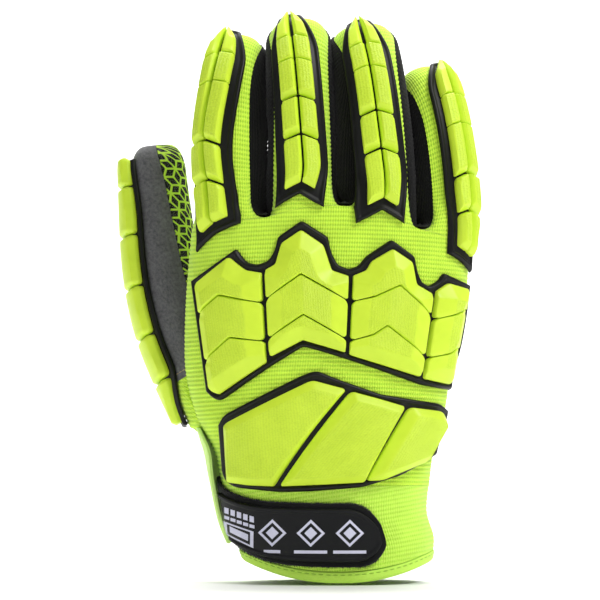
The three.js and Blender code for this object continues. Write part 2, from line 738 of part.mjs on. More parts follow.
// A finger guard's own grid: millimetres across from its middle, share of length up.
function fingerGuardPoint(finger, across, up, lift) {
  const { digit, rows } = finger;
  const narrow = 1 - 0.55 * smooth((up - 0.78) / 0.22);
  const fall = lerp(finger.foot[across < 0 ? 0 : 1], 1, smooth((up - rows[0]) / (rows[1] - rows[0])));
  const slope = CHEVRON * finger.guardScale * fall * lerp(1, 0.4, smooth(up));
  const spin = THREE.MathUtils.radToDeg(across * finger.guardScale * narrow / digit.halfWidth);
  const round = lookUp(finger.guard, "round", up) - spin;
  const share = THREE.MathUtils.clamp((finger.back[0] - round) / (finger.back[0] - finger.back[1]), 0, 1);
  const straight = up * digit.length - slope * Math.abs(across) / (FINGER_BLOCK_WIDTH / 2);
  const offset = finger.level * (crotchHeight(finger.order + share) - finger.rootHeight);
  const reach = straight - offset * (1 - smooth(straight / (1.5 * ROOT_BLEND)));
  return skinPoint(BACK, finger, share, Math.min(reach, digit.length * 0.99), lift, round);
}

function rowStations(from, to, most) {
  const count = Math.max(1, Math.round((to - from) / most));
  return spread(count).map((t) => lerp(from, to, t));
}

// Stations with more added wherever two lie further apart than the most allowed.
function refined(stations, most) {
  return stations.flatMap((from, k) => {
    const to = stations[k + 1];
    if (to === undefined) return [from];
    const count = Math.ceil((to - from) / most - 0.01);
    return spread(count).slice(0, -1).map((t) => lerp(from, to, t));
  });
}

// Stations along a finger guard, closer together over the rounded tip.
function guardStations(digit, from, to) {
  const body = 1 - digit.tip / digit.length;
  const split = THREE.MathUtils.clamp(body, from, to);
  const low = split > from ? rowStations(from, split, GUARD_STEP / digit.length) : [from];
  const high = to > split ? rowStations(split, to, GUARD_STEP / 2 / digit.length).slice(1) : [];
  return [...low, ...high];
}

function fingerGuard(finger) {
  const { rows, digit } = finger;
  const place = (across, up, lift) => fingerGuardPoint(finger, across, up, lift);
  const border = (FINGER_BASE_WIDTH - FINGER_BLOCK_WIDTH) / 2 / digit.length;
  const last = rows.length - 1;
  const ups = [rows[0] - border, ...guardStations(digit, rows[0], rows[last])];
  const half = FINGER_BASE_WIDTH / 2;
  const base = gridSheet([-half, -half / 2, 0, half / 2, half], ups, place, BASE_GAP, () => BASE_TOP);
  const solids = [[`${finger.name}_guard_base`, base, "rubber"]];
  const edge = FINGER_BLOCK_WIDTH / 2;
  const acrosses = [-edge, -edge + BLOCK_BEVEL, -BLOCK_BEVEL, 0, BLOCK_BEVEL, edge - BLOCK_BEVEL, edge];
  const gap = ROW_GAP / 2 / digit.length;
  for (const { name, from, to } of FINGER_BLOCKS) {
    const creases = rows.slice(from + 1, to);
    const stations = rows.slice(from, to).flatMap((row, k) =>
      [...(k ? [row] : []), ...guardStations(digit, row + gap, rows[from + k + 1] - gap)]);
    const height = (across, up) => {
      const atEdge = Math.abs(across) === edge || across === 0;
      return bevelled(atEdge, BLOCK_HEIGHT * (creases.includes(up) ? CREASE : 1));
    };
    const block = gridSheet(acrosses, stations, place, BLOCK_FOOT, height);
    solids.push([`${finger.name}_guard_${name}`, block, "block"]);
  }
  return solids;
}

// Frame of a guard laid over the back of the hand.
function guardPlace(frame, foot, height, width) {
  return (across, up, lift) => {
    const left = lerp(frame.leftFoot, frame.leftTop, up) * width / 2;
    const right = lerp(frame.rightFoot, frame.rightTop, up) * width / 2;
    return planPoint(lerp(left, right, across), foot + up * height, lift);
  };
}

const knucklePlace = guardPlace(KNUCKLE_FRAME, KNUCKLE_FOOT, KNUCKLE_HEIGHT, KNUCKLE_WIDTH);
const handGuardPlace = guardPlace(HAND_GUARD_FRAME, HAND_GUARD_FOOT, HAND_GUARD_HEIGHT, HAND_GUARD_WIDTH);

function guardBase(place, top, bottom, stations, layers) {
  const between = (share, t) => lerp(alongLine(bottom, share), alongLine(top, share), t);
  return gridSheet(stations, spread(layers), (across, t, lift) =>
    place(across, between(across, t), lift), BASE_GAP, () => BASE_TOP);
}

function knuckleBlock(column, row) {
  const { from, to, edges } = KNUCKLE_COLUMNS[column];
  const bevel = BLOCK_BEVEL / KNUCKLE_WIDTH;
  const half = DIVIDER / 2 / KNUCKLE_WIDTH;
  const [start, end] = [from + half, to - half];
  const peaks = [...edges[row], ...edges[row + 1]].map((point) => point[0]);
  const inner = peaks.filter((share) => share > start + 2 * bevel && share < end - 2 * bevel);
  const sorted = [...new Set(inner)].sort((a, b) => a - b);
  const kept = sorted.filter((share, k) => k === 0 || share - sorted[k - 1] > 1.5 * bevel);
  const acrosses = [start, ...refined([start + bevel, ...kept, end - bevel], 0.09), end];
  const gap = ROW_GAP / 2 / KNUCKLE_HEIGHT;
  const lip = BLOCK_BEVEL / KNUCKLE_HEIGHT;
  const place = (across, level, lift) => {
    const low = alongLine(edges[row + 1], across) + gap;
    const high = alongLine(edges[row], across) - gap;
    const share = [low, low + lip, high - lip, high][level];
    return knucklePlace(across, share, lift);
  };
  const onEdge = (across, level) => level === 0 || level === 3 || across === start || across === end;
  return gridSheet(acrosses, [0, 1, 2, 3], place, BLOCK_FOOT, (across, level) =>
    bevelled(onEdge(across, level), BLOCK_HEIGHT));
}

function handBlock({ top, foot }) {
  const bevelAcross = 0.05;
  const lip = 1.4 * BLOCK_BEVEL / HAND_GUARD_HEIGHT;
  const place = (across, up, lift) => {
    const [topX, topUp] = cornerPoint(top, across);
    const [footX, footUp] = cornerPoint(foot, across);
    return handGuardPlace(lerp(footX, topX, up), lerp(footUp, topUp, up), lift + HAND_BLOCK_GAP);
  };
  const acrosses = [0, bevelAcross, 0.25, 0.5, 0.75, 1 - bevelAcross, 1];
  const ups = [0, lip, 0.35, 0.65, 1 - lip, 1];
  const onEdge = (across, up) => [0, 1].includes(across) || [0, 1].includes(up);
  return gridSheet(acrosses, ups, place, BLOCK_FOOT, (across, up) =>
    bevelled(onEdge(across, up), HAND_BLOCK_HEIGHT));
}

// Thumb guard: millimetres across from its middle, share of the thumb's length up.
function thumbGuardPoint(across, up, lift) {
  const narrow = 1 - 0.35 * smooth((up - 0.75) / 0.25);
  const spin = THREE.MathUtils.radToDeg(across * narrow / thumb.halfWidth);
  return digitPoint(thumb, up * thumb.length, THUMB_GUARD - spin, lift);
}

function thumbGuard() {
  const half = THUMB_BASE_WIDTH / 2;
  const last = THUMB_ROWS.length - 1;
  const step = THUMB_STEP / thumb.length;
  const border = THUMB_BORDER / thumb.length;
  const ups = [THUMB_ROWS[0] - border, ...rowStations(THUMB_ROWS[0], THUMB_ROWS[last], step)];
  const acrosses = [-half, -half / 2, 0, half / 2, half];
  const base = gridSheet(acrosses, ups, thumbGuardPoint, BASE_GAP, () => BASE_TOP);
  const solids = [["thumb_guard_base", base, "rubber"]];
  const edge = THUMB_BLOCK_WIDTH / 2;
  const inner = edge - BLOCK_BEVEL;
  for (let k = 0; k < last; k++) {
    const gap = ROW_GAP / 2 / thumb.length;
    const stations = rowStations(THUMB_ROWS[k] + gap, THUMB_ROWS[k + 1] - gap, step);
    const height = (across) => bevelled(Math.abs(across) === edge, BLOCK_HEIGHT);
    const acrossBlock = [-edge, -inner, -inner / 2, 0, inner / 2, inner, edge];
    const block = gridSheet(acrossBlock, stations, thumbGuardPoint, BLOCK_FOOT, height);
    solids.push([`thumb_block_${k + 1}`, block, "block"]);
  }
  return solids;
}

// Lower edge of the cuff: lowest at the middle of the back, higher at the sides.
const hemFoot = (round) => HEM_RISE * (1 - Math.abs(Math.sin(degToRad(round))));

function ringSheet(levels, inner, outer, columns = 24) {
  const sheet = new Sheet();
  const rows = levels.map((level) => spread(columns).slice(1).map((t) => {
    const height = level(t * 360);
    return sheet.corner(loopPoint(t * 360, height, outer), loopPoint(t * 360, height, inner));
  }));
  return sheet.join(rows, true).geometry();
}

function cuff() {
  const foot = (round) => hemFoot(round) + HEM_HEIGHT + PANEL_GAP;
  const level = (t) => (round) => lerp(foot(round), CUFF_HEIGHT, t);
  return ringSheet([0, 0.4, 1].map(level), -WALL, 0);
}

function cuffHem() {
  const spare = (HEM_WALL - WALL) / 2;
  const levels = [(round) => hemFoot(round), (round) => hemFoot(round) + HEM_HEIGHT];
  return ringSheet(levels, -WALL - spare, spare);
}

// Half the strap's width at a place round the wrist, rounded at its free end.
function strapHalf(round, from, end) {
  const reach = degToRad(round - from) * HAND_WIDTH * 0.36;
  const rounding = roundIn((reach + STRAP_END_LEAD) / end);
  return lookUp(STRAP, "half", round) * STRAP_WIDTH * lerp(0.35, 1, rounding);
}

function strapBand(from, to, count, margin, foot, levels) {
  const place = (round, level, lift) => {
    const half = strapHalf(round, from, STRAP_END_ROUND) - margin;
    return loopPoint(round, lookUp(STRAP, "height", round) * STRAP_CENTRE + half * level, lift);
  };
  const rounds = [from, from + 5, ...spread(count).map((t) => lerp(from + 12, to, t))];
  return gridSheet(rounds, levels.map((row) => row.at), place, foot, (round, level) =>
    levels.find((row) => row.at === level).lift(round, rounds));
}

function wristStrap() {
  const lift = () => STRAP_GAP + STRAP_WALL;
  const levels = [-1, 0, 1].map((at) => ({ at, lift }));
  return strapBand(STRAP_FROM, STRAP_TO, 16, 0, STRAP_GAP, levels);
}

function strapTab() {
  const foot = STRAP_GAP + STRAP_WALL + STRAP_GAP;
  const rim = () => foot + TAB_WALL + TAB_RIM;
  const field = (round, rounds) => {
    const atEnd = round === rounds[0] || round === rounds[rounds.length - 1];
    return foot + TAB_WALL + (atEnd ? TAB_RIM : 0);
  };
  const levels = [
    { at: -1, lift: rim }, { at: -0.86, lift: rim }, { at: -0.82, lift: field }, { at: 0, lift: field },
    { at: 0.82, lift: field }, { at: 0.86, lift: rim }, { at: 1, lift: rim },
  ];
  return strapBand(STRAP_FROM + 3, TAB_TO, 8, TAB_MARGIN, foot, levels);
}

function sideFlap() {
  const place = (t, share, lift) => {
    const round = lerp(lookUp(FLAP, "from", share), lookUp(FLAP, "to", share), t);
    return loopPoint(round, FLAP_FOOT + share * FLAP_HEIGHT, lookUp(FLAP, "lift", share) * FLAP_LIFT + lift);
  };
  return gridSheet(spread(5), spread(6), place, 0, () => WALL);
}

function allSolids() {
  const opening = thumbCore(-WALL);
  const body = handCore(CORE_GAP);
  const seam = (share) => lookUp(THUMB_SEAM, "round", share);
  const solids = [
    ["back_shell", cutFrom(handPanel(BACK, BACK_COLUMNS), opening), "knit"],
    ["palm_shell", cutFrom(handPanel(PALM, PALM_COLUMNS), opening), "palm"],
    ["fourchette_index_middle", sideStrip(fingers[0], fingers[1]), "strip"],
    ["fourchette_middle_ring", sideStrip(fingers[1], fingers[2]), "strip"],
    ["fourchette_ring_little", sideStrip(fingers[2], fingers[3]), "strip"],
    ["thumb_side_panel", cutFrom(thumbPanel(seam, () => THUMB_BACK_SEAM, 6), body), "suede"],
    ["thumb_pad", cutFrom(thumbPanel(() => THUMB_BACK_SEAM, (share) => seam(share) + 360, 7), body), "palm"],
    ["cuff", cuff(), "cuff"],
    ["cuff_hem", cuffHem(), "cuff"],
    ["side_flap", sideFlap(), "cuff"],
    ["wrist_strap", wristStrap(), "strap"],
    ["strap_tab", strapTab(), "strap"],
    ["knuckle_guard_base", guardBase(knucklePlace, KNUCKLE_TOP, KNUCKLE_BOTTOM,
      refined(KNUCKLE_TOP.map((point) => point[0]), 0.056), 3), "rubber"],
    ["hand_guard_base", guardBase(handGuardPlace, HAND_GUARD_TOP, HAND_GUARD_BOTTOM,
      refined([0, 0.03, 0.36, 0.411, 0.513, 0.687, 0.859, 0.951, 1], 0.08), 5), "rubber"],
  ];
  fingers.forEach((finger) => solids.push(
    [`${finger.name}_back`, fingerPanel(BACK, finger, BACK_COLUMNS), "knit"],
    [`${finger.name}_palm`, fingerPanel(PALM, finger, PALM_COLUMNS), "palm"],
    ...fingerGuard(finger),
  ));
  solids.push(...thumbGuard());
  KNUCKLE_COLUMNS.forEach((_, column) => [0, 1, 2].forEach((row) => {
    solids.push([`knuckle_block_${column + 1}_${row + 1}`, knuckleBlock(column, row), "block"]);
  }));
  HAND_BLOCKS.forEach((block, k) => solids.push([`hand_block_${k + 1}`, handBlock(block), "block"]));
  return solids;
}

const glove = new THREE.Group();
glove.name = "impact_glove";
const FINISH = { rubber: 0.6, block: 0.5, strap: 0.7 };
for (const [name, geometry, look] of allSolids()) {
  const material = new THREE.MeshStandardMaterial({
    color: COLOURS[look], roughness: FINISH[look] ?? 0.95, metalness: 0,
  });
  const mesh = new THREE.Mesh(geometry, material);
  mesh.name = name;
  glove.add(mesh);
}

export default glove;
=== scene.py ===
"""Looks of the impact glove: knitted back, printed palm and raised rubber guards.

All shapes are worked out in millimetres in the frame of the CAD model and turned
to metres once, where a mesh is made.
"""

import logging
import math
from collections.abc import Callable, Sequence
from dataclasses import dataclass, field
from enum import Enum

import bpy
import numpy as np
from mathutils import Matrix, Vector


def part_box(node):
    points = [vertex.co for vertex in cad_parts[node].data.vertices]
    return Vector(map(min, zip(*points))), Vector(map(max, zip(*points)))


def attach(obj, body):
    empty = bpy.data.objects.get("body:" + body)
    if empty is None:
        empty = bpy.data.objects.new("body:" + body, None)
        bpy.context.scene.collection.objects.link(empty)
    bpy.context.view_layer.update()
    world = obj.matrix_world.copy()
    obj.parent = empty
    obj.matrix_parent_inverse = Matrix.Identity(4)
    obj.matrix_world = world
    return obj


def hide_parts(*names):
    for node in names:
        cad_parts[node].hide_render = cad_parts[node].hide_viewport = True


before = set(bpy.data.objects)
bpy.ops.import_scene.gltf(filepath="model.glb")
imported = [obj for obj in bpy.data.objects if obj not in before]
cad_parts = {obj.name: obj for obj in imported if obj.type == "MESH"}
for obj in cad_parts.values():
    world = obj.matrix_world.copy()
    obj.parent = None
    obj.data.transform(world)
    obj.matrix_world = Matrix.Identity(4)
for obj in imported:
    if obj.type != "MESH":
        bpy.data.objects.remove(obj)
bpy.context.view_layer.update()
log = logging.getLogger("impact_glove")
Array = np.ndarray
Place = Callable[[Array, Array, Array], Array]

# Millimetres to metres
MM = 0.001

# Driving sizes, the same as the CAD model's
HAND_WIDTH = 128.0
HAND_DEPTH = 54.0
ROOT_HEIGHT = 166.0
FINGER_LENGTH = 94.0
FINGER_WIDTH = 32.0
FINGER_DEPTH = 28.0
FINGER_TIP = 13.0
THUMB_LENGTH = 153.0
FLAP_FOOT = 17.0
FLAP_HEIGHT = 53.0
THUMB_WIDTH = 34.0
THUMB_DEPTH = 31.0
THUMB_TIP = 14.0
CUFF_HEIGHT = 44.0
HEM_HEIGHT = 5.0
HEM_RISE = 9.0
WALL = 1.6
HEM_WALL = 2.8
PANEL_GAP = 0.4
ROOT_BLEND = 22.0
CROTCH_ROUND = 9.0
CROTCH_RISE = 1.5
BASE_GAP = 0.85
BASE_WALL = 1.2
BLOCK_FOOT = BASE_GAP + BASE_WALL + 0.1
BLOCK_HEIGHT = 4.5
GUARD_DIP = 0.5
FINGER_BASE_WIDTH = 22.5
FINGER_BLOCK_WIDTH = 12.8
CHEVRON = 3.5
KNUCKLE_FOOT = 82.8
KNUCKLE_HEIGHT = 82.3
KNUCKLE_WIDTH = 129.0
HAND_GUARD_FOOT = 41.4
HAND_GUARD_HEIGHT = 55.4
HAND_GUARD_WIDTH = 106.0
THUMB_BASE_WIDTH = 27.0
THUMB_BLOCK_WIDTH = 21.0
STRAP_WIDTH = 29.0
STRAP_CENTRE = 22.0
STRAP_GAP = 0.5
STRAP_WALL = 1.9
SQUARENESS = 2.3
TIP_END = 0.9999
RIB_PITCH = 2.0
RIB_STEP = 0.42
RIB_BOW = 0.0008


class Side(Enum):
    """Which face of the hand a cloth panel covers."""

    BACK = 1
    PALM = -1


class Table:
    """Columns of numbers read smoothly at any place along them."""

    def __init__(self, names: str, rows: Sequence[Sequence[float]]) -> None:
        """Keeps the table.

        Args:
            names: names of the columns after the first, which is the place.
            rows: one row of numbers for each place, in order.
        """
        data = np.array(rows, float)
        self.at = data[:, 0]
        self.columns = {name: data[:, k + 1] for k, name in enumerate(names.split())}

    def read(self, column: str, at: Array | float) -> Array:
        """Reads one column.

        Args:
            column: name of the column.
            at: places to read it at.

        Returns:
            The smooth value at each place, held at both ends.
        """
        x, y = self.at, self.columns[column]
        last = len(x) - 1
        order = np.arange(last + 1)
        before, after = np.maximum(order - 1, 0), np.minimum(order + 1, last)
        slope = (y[after] - y[before]) / (x[after] - x[before])
        at = np.asarray(at, float)
        i = np.clip(np.searchsorted(x, at, side="right") - 1, 0, last - 1)
        span = x[i + 1] - x[i]
        t = np.clip((at - x[i]) / span, 0, 1)
        ease = t * t * (3 - 2 * t)
        turn_in = slope[i] * span * t * (1 - t) ** 2
        turn_out = slope[i + 1] * span * t * t * (t - 1)
        return y[i] + (y[i + 1] - y[i]) * ease + turn_in + turn_out


HAND = Table("left right back palm", [
    (0.0, 0.56, 0.72, 1.0, 0.94), (0.07, 0.62, 0.75, 1.02, 0.95), (0.12, 0.67, 0.76, 1.02, 0.95),
    (0.19, 0.72, 0.71, 1.0, 0.95), (0.28, 0.77, 0.73, 1.0, 0.96), (0.36, 0.82, 0.76, 1.0, 0.98),
    (0.45, 0.94, 0.83, 1.0, 1.0), (0.57, 1.02, 0.88, 0.98, 0.98), (0.66, 1.03, 0.94, 0.95, 0.93),
    (0.78, 1.02, 0.99, 0.9, 0.86), (0.88, 1.0, 1.01, 0.8, 0.75), (0.97, 0.98, 1.02, 0.7, 0.64),
    (1.2, 0.94, 1.03, 0.58, 0.5),
])
ROOTS = Table("round height", [
    (0, 180, 0.952), (1, 114.8, 1.003), (2, 86.4, 1.034), (3, 53.2, 0.97), (4, 0, 0.904),
])
GUARD_AT = (0, 0.25, 0.45, 0.7, 0.95)
CURL = Table("turn", [(0, 0), (0.3, 3), (0.55, 12), (0.75, 26), (0.9, 42), (1, 52)])
SWELL = Table("size", [(0, 1.05), (0.25, 1.04), (0.5, 1.0), (0.8, 0.95), (1, 0.9)])
THUMB_LEAN = Table("turn", [(0, -27), (0.35, -25), (0.5, -16), (0.7, -7), (1, -4)])
THUMB_CURL = Table("turn", [(0, 6), (0.5, 11), (1, 9)])
THUMB_SWELL = Table("size", [(0, 1.08), (0.35, 1.0), (0.6, 0.9), (0.85, 0.78), (1, 0.72)])
SEAM_SHARE = Table("share", [
    (0, 1), (0.6, 1), (0.76, 0.85), (0.88, 0.5), (0.95, 0.2), (0.985, 0.1), (1, 0.07),
])
THUMB_SEAM = Table("round", [(0, 62), (0.6, 64), (0.85, 76), (1, 92)])
THUMB_BACK_SEAM = 228.0
STRAP = Table("height half", [
    (60, 1.0, 0.5), (98, 1.0, 0.5), (127, 1.06, 0.49), (157, 1.27, 0.47), (180, 1.5, 0.45),
    (215, 1.58, 0.45), (260, 1.58, 0.45),
])
FLAP = Table("start end lift", [
    (0, 174, 200, 0.8), (0.25, 168, 208, 1.0), (0.6, 166, 214, 1.05), (0.85, 166, 214, 0.75),
    (1, 172, 208, 0.3),
])
KNUCKLE_FRAME = (-0.856, -1.035, 0.87, 1.118)
KNUCKLE_TOP = [
    (0.0, 0.665), (0.148, 0.821), (0.169, 0.844), (0.181, 0.804), (0.203, 0.765), (0.238, 0.754),
    (0.277, 0.777), (0.302, 0.838), (0.31, 0.905), (0.392, 1.0), (0.483, 0.905), (0.491, 0.827),
    (0.516, 0.754), (0.555, 0.729), (0.589, 0.749), (0.612, 0.799), (0.696, 0.894), (0.781, 0.799),
    (0.793, 0.726), (0.815, 0.66), (0.843, 0.634), (0.876, 0.665), (0.889, 0.709), (1.0, 0.637),
]
KNUCKLE_BOTTOM = [
    (0.0, 0.05), (0.02, 0.017), (0.045, 0.0), (0.072, 0.017), (0.264, 0.19), (0.395, 0.302),
    (0.48, 0.268), (0.679, 0.179), (0.866, 0.089), (1.0, 0.056),
]
KNUCKLE_COLUMNS = [
    (0.018, 0.262, [
        [(0.018, 0.648), (0.146, 0.799), (0.172, 0.76), (0.2, 0.726), (0.262, 0.71)],
        [(0.018, 0.46), (0.115, 0.587), (0.262, 0.54)],
        [(0.018, 0.2), (0.137, 0.352), (0.262, 0.33)],
        [(0.018, 0.056), (0.057, 0.034), (0.262, 0.218)],
    ]),
    (0.262, 0.562, [
        [(0.262, 0.722), (0.304, 0.76), (0.327, 0.877), (0.392, 0.95), (0.466, 0.866), (0.496, 0.726),
         (0.562, 0.69)],
        [(0.262, 0.553), (0.394, 0.704), (0.562, 0.547)],
        [(0.262, 0.335), (0.4, 0.48), (0.562, 0.335)],
        [(0.262, 0.235), (0.395, 0.335), (0.562, 0.263)],
    ]),
    (0.562, 0.858, [
        [(0.562, 0.69), (0.615, 0.726), (0.63, 0.775), (0.699, 0.844), (0.769, 0.771), (0.792, 0.648),
         (0.858, 0.592)],
        [(0.562, 0.547), (0.646, 0.581), (0.725, 0.642), (0.858, 0.464)],
        [(0.562, 0.33), (0.649, 0.369), (0.695, 0.419), (0.858, 0.235)],
        [(0.562, 0.257), (0.858, 0.128)],
    ]),
    (0.858, 0.985, [
        [(0.858, 0.6), (0.905, 0.655), (0.985, 0.62)],
        [(0.858, 0.447), (0.93, 0.48), (0.965, 0.51), (0.985, 0.47)],
        [(0.858, 0.235), (0.935, 0.263), (0.96, 0.296), (0.985, 0.26)],
        [(0.858, 0.123), (0.985, 0.084)],
    ]),
]
HAND_GUARD_FRAME = (-0.903, -0.99, 0.833, 1.163)
HAND_GUARD_TOP = [
    (0.0, 0.548), (0.027, 0.631), (0.36, 0.963), (0.411, 1.0), (0.513, 0.921), (0.687, 0.805),
    (0.951, 0.722), (1.0, 0.656),
]
HAND_GUARD_BOTTOM = [
    (0.0, 0.166), (0.013, 0.075), (0.056, 0.033), (0.28, 0.0), (0.43, 0.008), (0.685, 0.041),
    (0.859, 0.133), (0.953, 0.232), (1.0, 0.29),
]
HAND_BLOCKS = [
    ([(0.038, 0.556), (0.398, 0.921), (0.538, 0.846)], [(0.038, 0.075), (0.14, 0.055), (0.255, 0.05)]),
    ([(0.558, 0.83), (0.675, 0.768), (0.787, 0.705)], [(0.284, 0.05), (0.49, 0.066), (0.679, 0.083)]),
    ([(0.812, 0.697), (0.951, 0.66), (0.985, 0.573)], [(0.692, 0.095), (0.768, 0.1), (0.945, 0.241)]),
]
THUMB_ROWS = [0.165, 0.3, 0.43, 0.57, 0.72, 0.87, 0.95]


def smooth(t: Array) -> Array:
    """Eases a share from 0 to 1."""
    t = np.clip(t, 0, 1)
    return t * t * (3 - 2 * t)


def round_in(t: Array) -> Array:
    """A quarter circle from 0 to 1."""
    return np.sqrt(1 - (1 - np.clip(t, 0, 1)) ** 2)


def flatten(value: Array, power: float) -> Array:
    """A power of a number that keeps its sign."""
    return np.sign(value) * np.abs(value) ** power


def mix(a: Array | float, b: Array | float, t: Array | float) -> Array:
    """The value at share t of the way from a to b."""
    return a + (b - a) * t


def along_line(points: Sequence[tuple[float, float]], across: Array) -> Array:
    """Straight-line height of a polyline of (across, up) pairs, with its end slopes kept."""
    xs, ys = np.array(points, float).T
    i = np.clip(np.searchsorted(xs, across, side="right") - 1, 0, len(xs) - 2)
    return ys[i] + (ys[i + 1] - ys[i]) * (across - xs[i]) / (xs[i + 1] - xs[i])


def softened(points: Sequence[tuple[float, float]], scale: tuple[float, float],
             radius: float) -> list[tuple[float, float]]:
    """Rounds the corners of a polyline.

    Args:
        points: (across, up) pairs in shares.
        scale: millimetres of one share across and up.
        radius: how far from a corner the rounding starts, in millimetres.

    Returns:
        The polyline with each inner corner replaced by a short curve.
    """
    size = np.array(scale)
    line = [np.array(point) * size for point in points]
    out = [line[0]]
    for before, corner, after in zip(line, line[1:], line[2:]):
        start, end = before - corner, after - corner
        a = corner + start * min(radius / np.linalg.norm(start), 0.45)
        b = corner + end * min(radius / np.linalg.norm(end), 0.45)
        out += [(1 - t) ** 2 * a + 2 * t * (1 - t) * corner + t * t * b for t in (0, 0.25, 0.5, 0.75, 1)]
    out.append(line[-1])
    return [tuple(point / size) for point in out]


def hand_frame(height: Array, lift: Array | float) -> tuple[Array, Array, Array, Array]:
    """Section of the hand at a height.

    Args:
        height: millimetres above the wrist opening.
        lift: millimetres off the skin of the glove.

    Returns:
        Middle, half width, depth to the back and depth to the palm.
    """
    share = np.asarray(height, float) / ROOT_HEIGHT
    left = -HAND.read("left", share) * HAND_WIDTH / 2
    right = HAND.read("right", share) * HAND_WIDTH / 2
    back = HAND.read("back", share) * HAND_DEPTH / 2 + lift
    palm = HAND.read("palm", share) * HAND_DEPTH / 2 + lift
    return (left + right) / 2, (right - left) / 2 + lift, back, palm


def hand_point(turn: Array, height: Array, lift: Array | float) -> Array:
    """Point of the hand's surface at a place round it in degrees, a height and a lift."""
    centre, half, back, palm = hand_frame(height, lift)
    angle = np.radians(turn)
    x = centre + half * flatten(np.cos(angle), 2 / SQUARENESS)
    depth = flatten(np.sin(angle), 2 / SQUARENESS)
    y = np.where(depth > 0, -back * depth, -palm * depth)
    return np.stack(np.broadcast_arrays(x, y, np.asarray(height, float)), -1)


def plan_point(x: Array, height: Array, lift: Array | float) -> Array:
    """Point of the back of the hand that is seen from the front at x and a height."""
    centre, half, _, _ = hand_frame(height, 2.0)
    share = np.clip((x - centre) / half, -0.985, 0.985)
    turn = np.degrees(np.arccos(flatten(share, SQUARENESS / 2)))
    return hand_point(turn, height, lift)


def crotch(column: Array | float) -> Array:
    """Height where the hand divides into fingers."""
    return ROOTS.read("height", column) * ROOT_HEIGHT


def column_point(side: Side, column: Array, height: Array, lift: Array | float) -> Array:
    """Point of the hand's back or palm at a finger column, a height and a lift."""
    turn = np.interp(column, ROOTS.at, ROOTS.columns["round"])
    return hand_point(side.value * np.clip(turn, 0.24, 179.76), height, lift)


def inside_hand(points: Array, lift: float) -> Array:
    """Whether points lie inside the hand's surface with a lift."""
    centre, half, back, palm = hand_frame(points[..., 2], lift)
    depth = np.where(points[..., 1] < 0, back, palm)
    across = np.abs((points[..., 0] - centre) / half) ** SQUARENESS
    return across + np.abs(points[..., 1] / depth) ** SQUARENESS < 1


@dataclass
class Digit:
    """Finger or thumb bent along its middle line."""

    root: Array
    length: float
    tip: float
    half_width: float
    half_depth: float
    lean: Callable[[Array], Array]
    curl: Table
    swell: Table
    path: Array = field(init=False)

    STEPS = 48

    def __post_init__(self) -> None:
        """Adds up the middle line step by step."""
        middles = (np.arange(self.STEPS) + 0.5) / self.STEPS
        along = self.axes(middles)[0] * self.length / self.STEPS
        self.path = np.vstack([self.root, self.root + np.cumsum(along, axis=0)])

    def axes(self, share: Array) -> tuple[Array, Array, Array]:
        """Directions of the digit.

        Args:
            share: place along the digit, 0 at its root.

        Returns:
            Directions along it, off its back and across it.
        """
        share = np.asarray(share, float)
        side = np.radians(self.lean(share))
        bend = np.radians(self.curl.read("turn", share))
        along = np.stack([np.sin(side) * np.cos(bend), np.sin(bend), np.cos(side) * np.cos(bend)], -1)
        rise = np.stack([np.sin(side) * np.sin(bend), -np.cos(bend), np.cos(side) * np.sin(bend)], -1)
        across = np.stack([np.cos(side), np.zeros_like(side), -np.sin(side)], -1)
        return along, rise, across

    def point(self, reach: Array, turn: Array, lift: Array | float) -> Array:
        """Point on the digit.

        Args:
            reach: millimetres along it from its root.
            turn: degrees round it from +X over its back.
            lift: millimetres off the glove's skin.

        Returns:
            Points in millimetres.
        """
        reach, turn, lift = np.broadcast_arrays(*(np.asarray(v, float) for v in (reach, turn, lift)))
        body = self.length - self.tip
        in_tip = np.clip((reach - body) / self.tip, 0, 1)
        share = np.minimum(reach, body) / self.length
        along, rise, across = self.axes(share)
        narrow = np.sqrt(1 - in_tip ** 2)
        size = self.swell.read("size", share)
        width = (self.half_width * size + lift) * mix(0.35, 1, narrow ** 0.8)
        depth = (self.half_depth * size + lift) * narrow ** 0.9
        place = np.minimum(share, 1) * self.STEPS
        k = np.clip(np.floor(place).astype(int), 0, self.STEPS - 1)
        centre = self.path[k] + (self.path[k + 1] - self.path[k]) * (place - k)[..., None]
        angle = np.radians(turn)
        return (centre + along * (in_tip * (self.tip + lift))[..., None]
                + across * (width * np.cos(angle))[..., None]
                + rise * (depth * np.sin(angle))[..., None])

    def inside(self, points: Array, lift: float) -> Array:
        """Whether points lie within the digit's tube with a lift."""
        shares = np.linspace(0.2, 0.9, 40)
        width = self.half_width * self.swell.read("size", shares)
        # A point at turn 0 lies half a width off the digit's middle line
        centres = self.point(shares * self.length, 0, 0) - self.axes(shares)[2] * width[:, None]
        gaps = np.linalg.norm(points[..., None, :] - centres, axis=-1)
        return (gaps < width + lift).any(axis=-1)


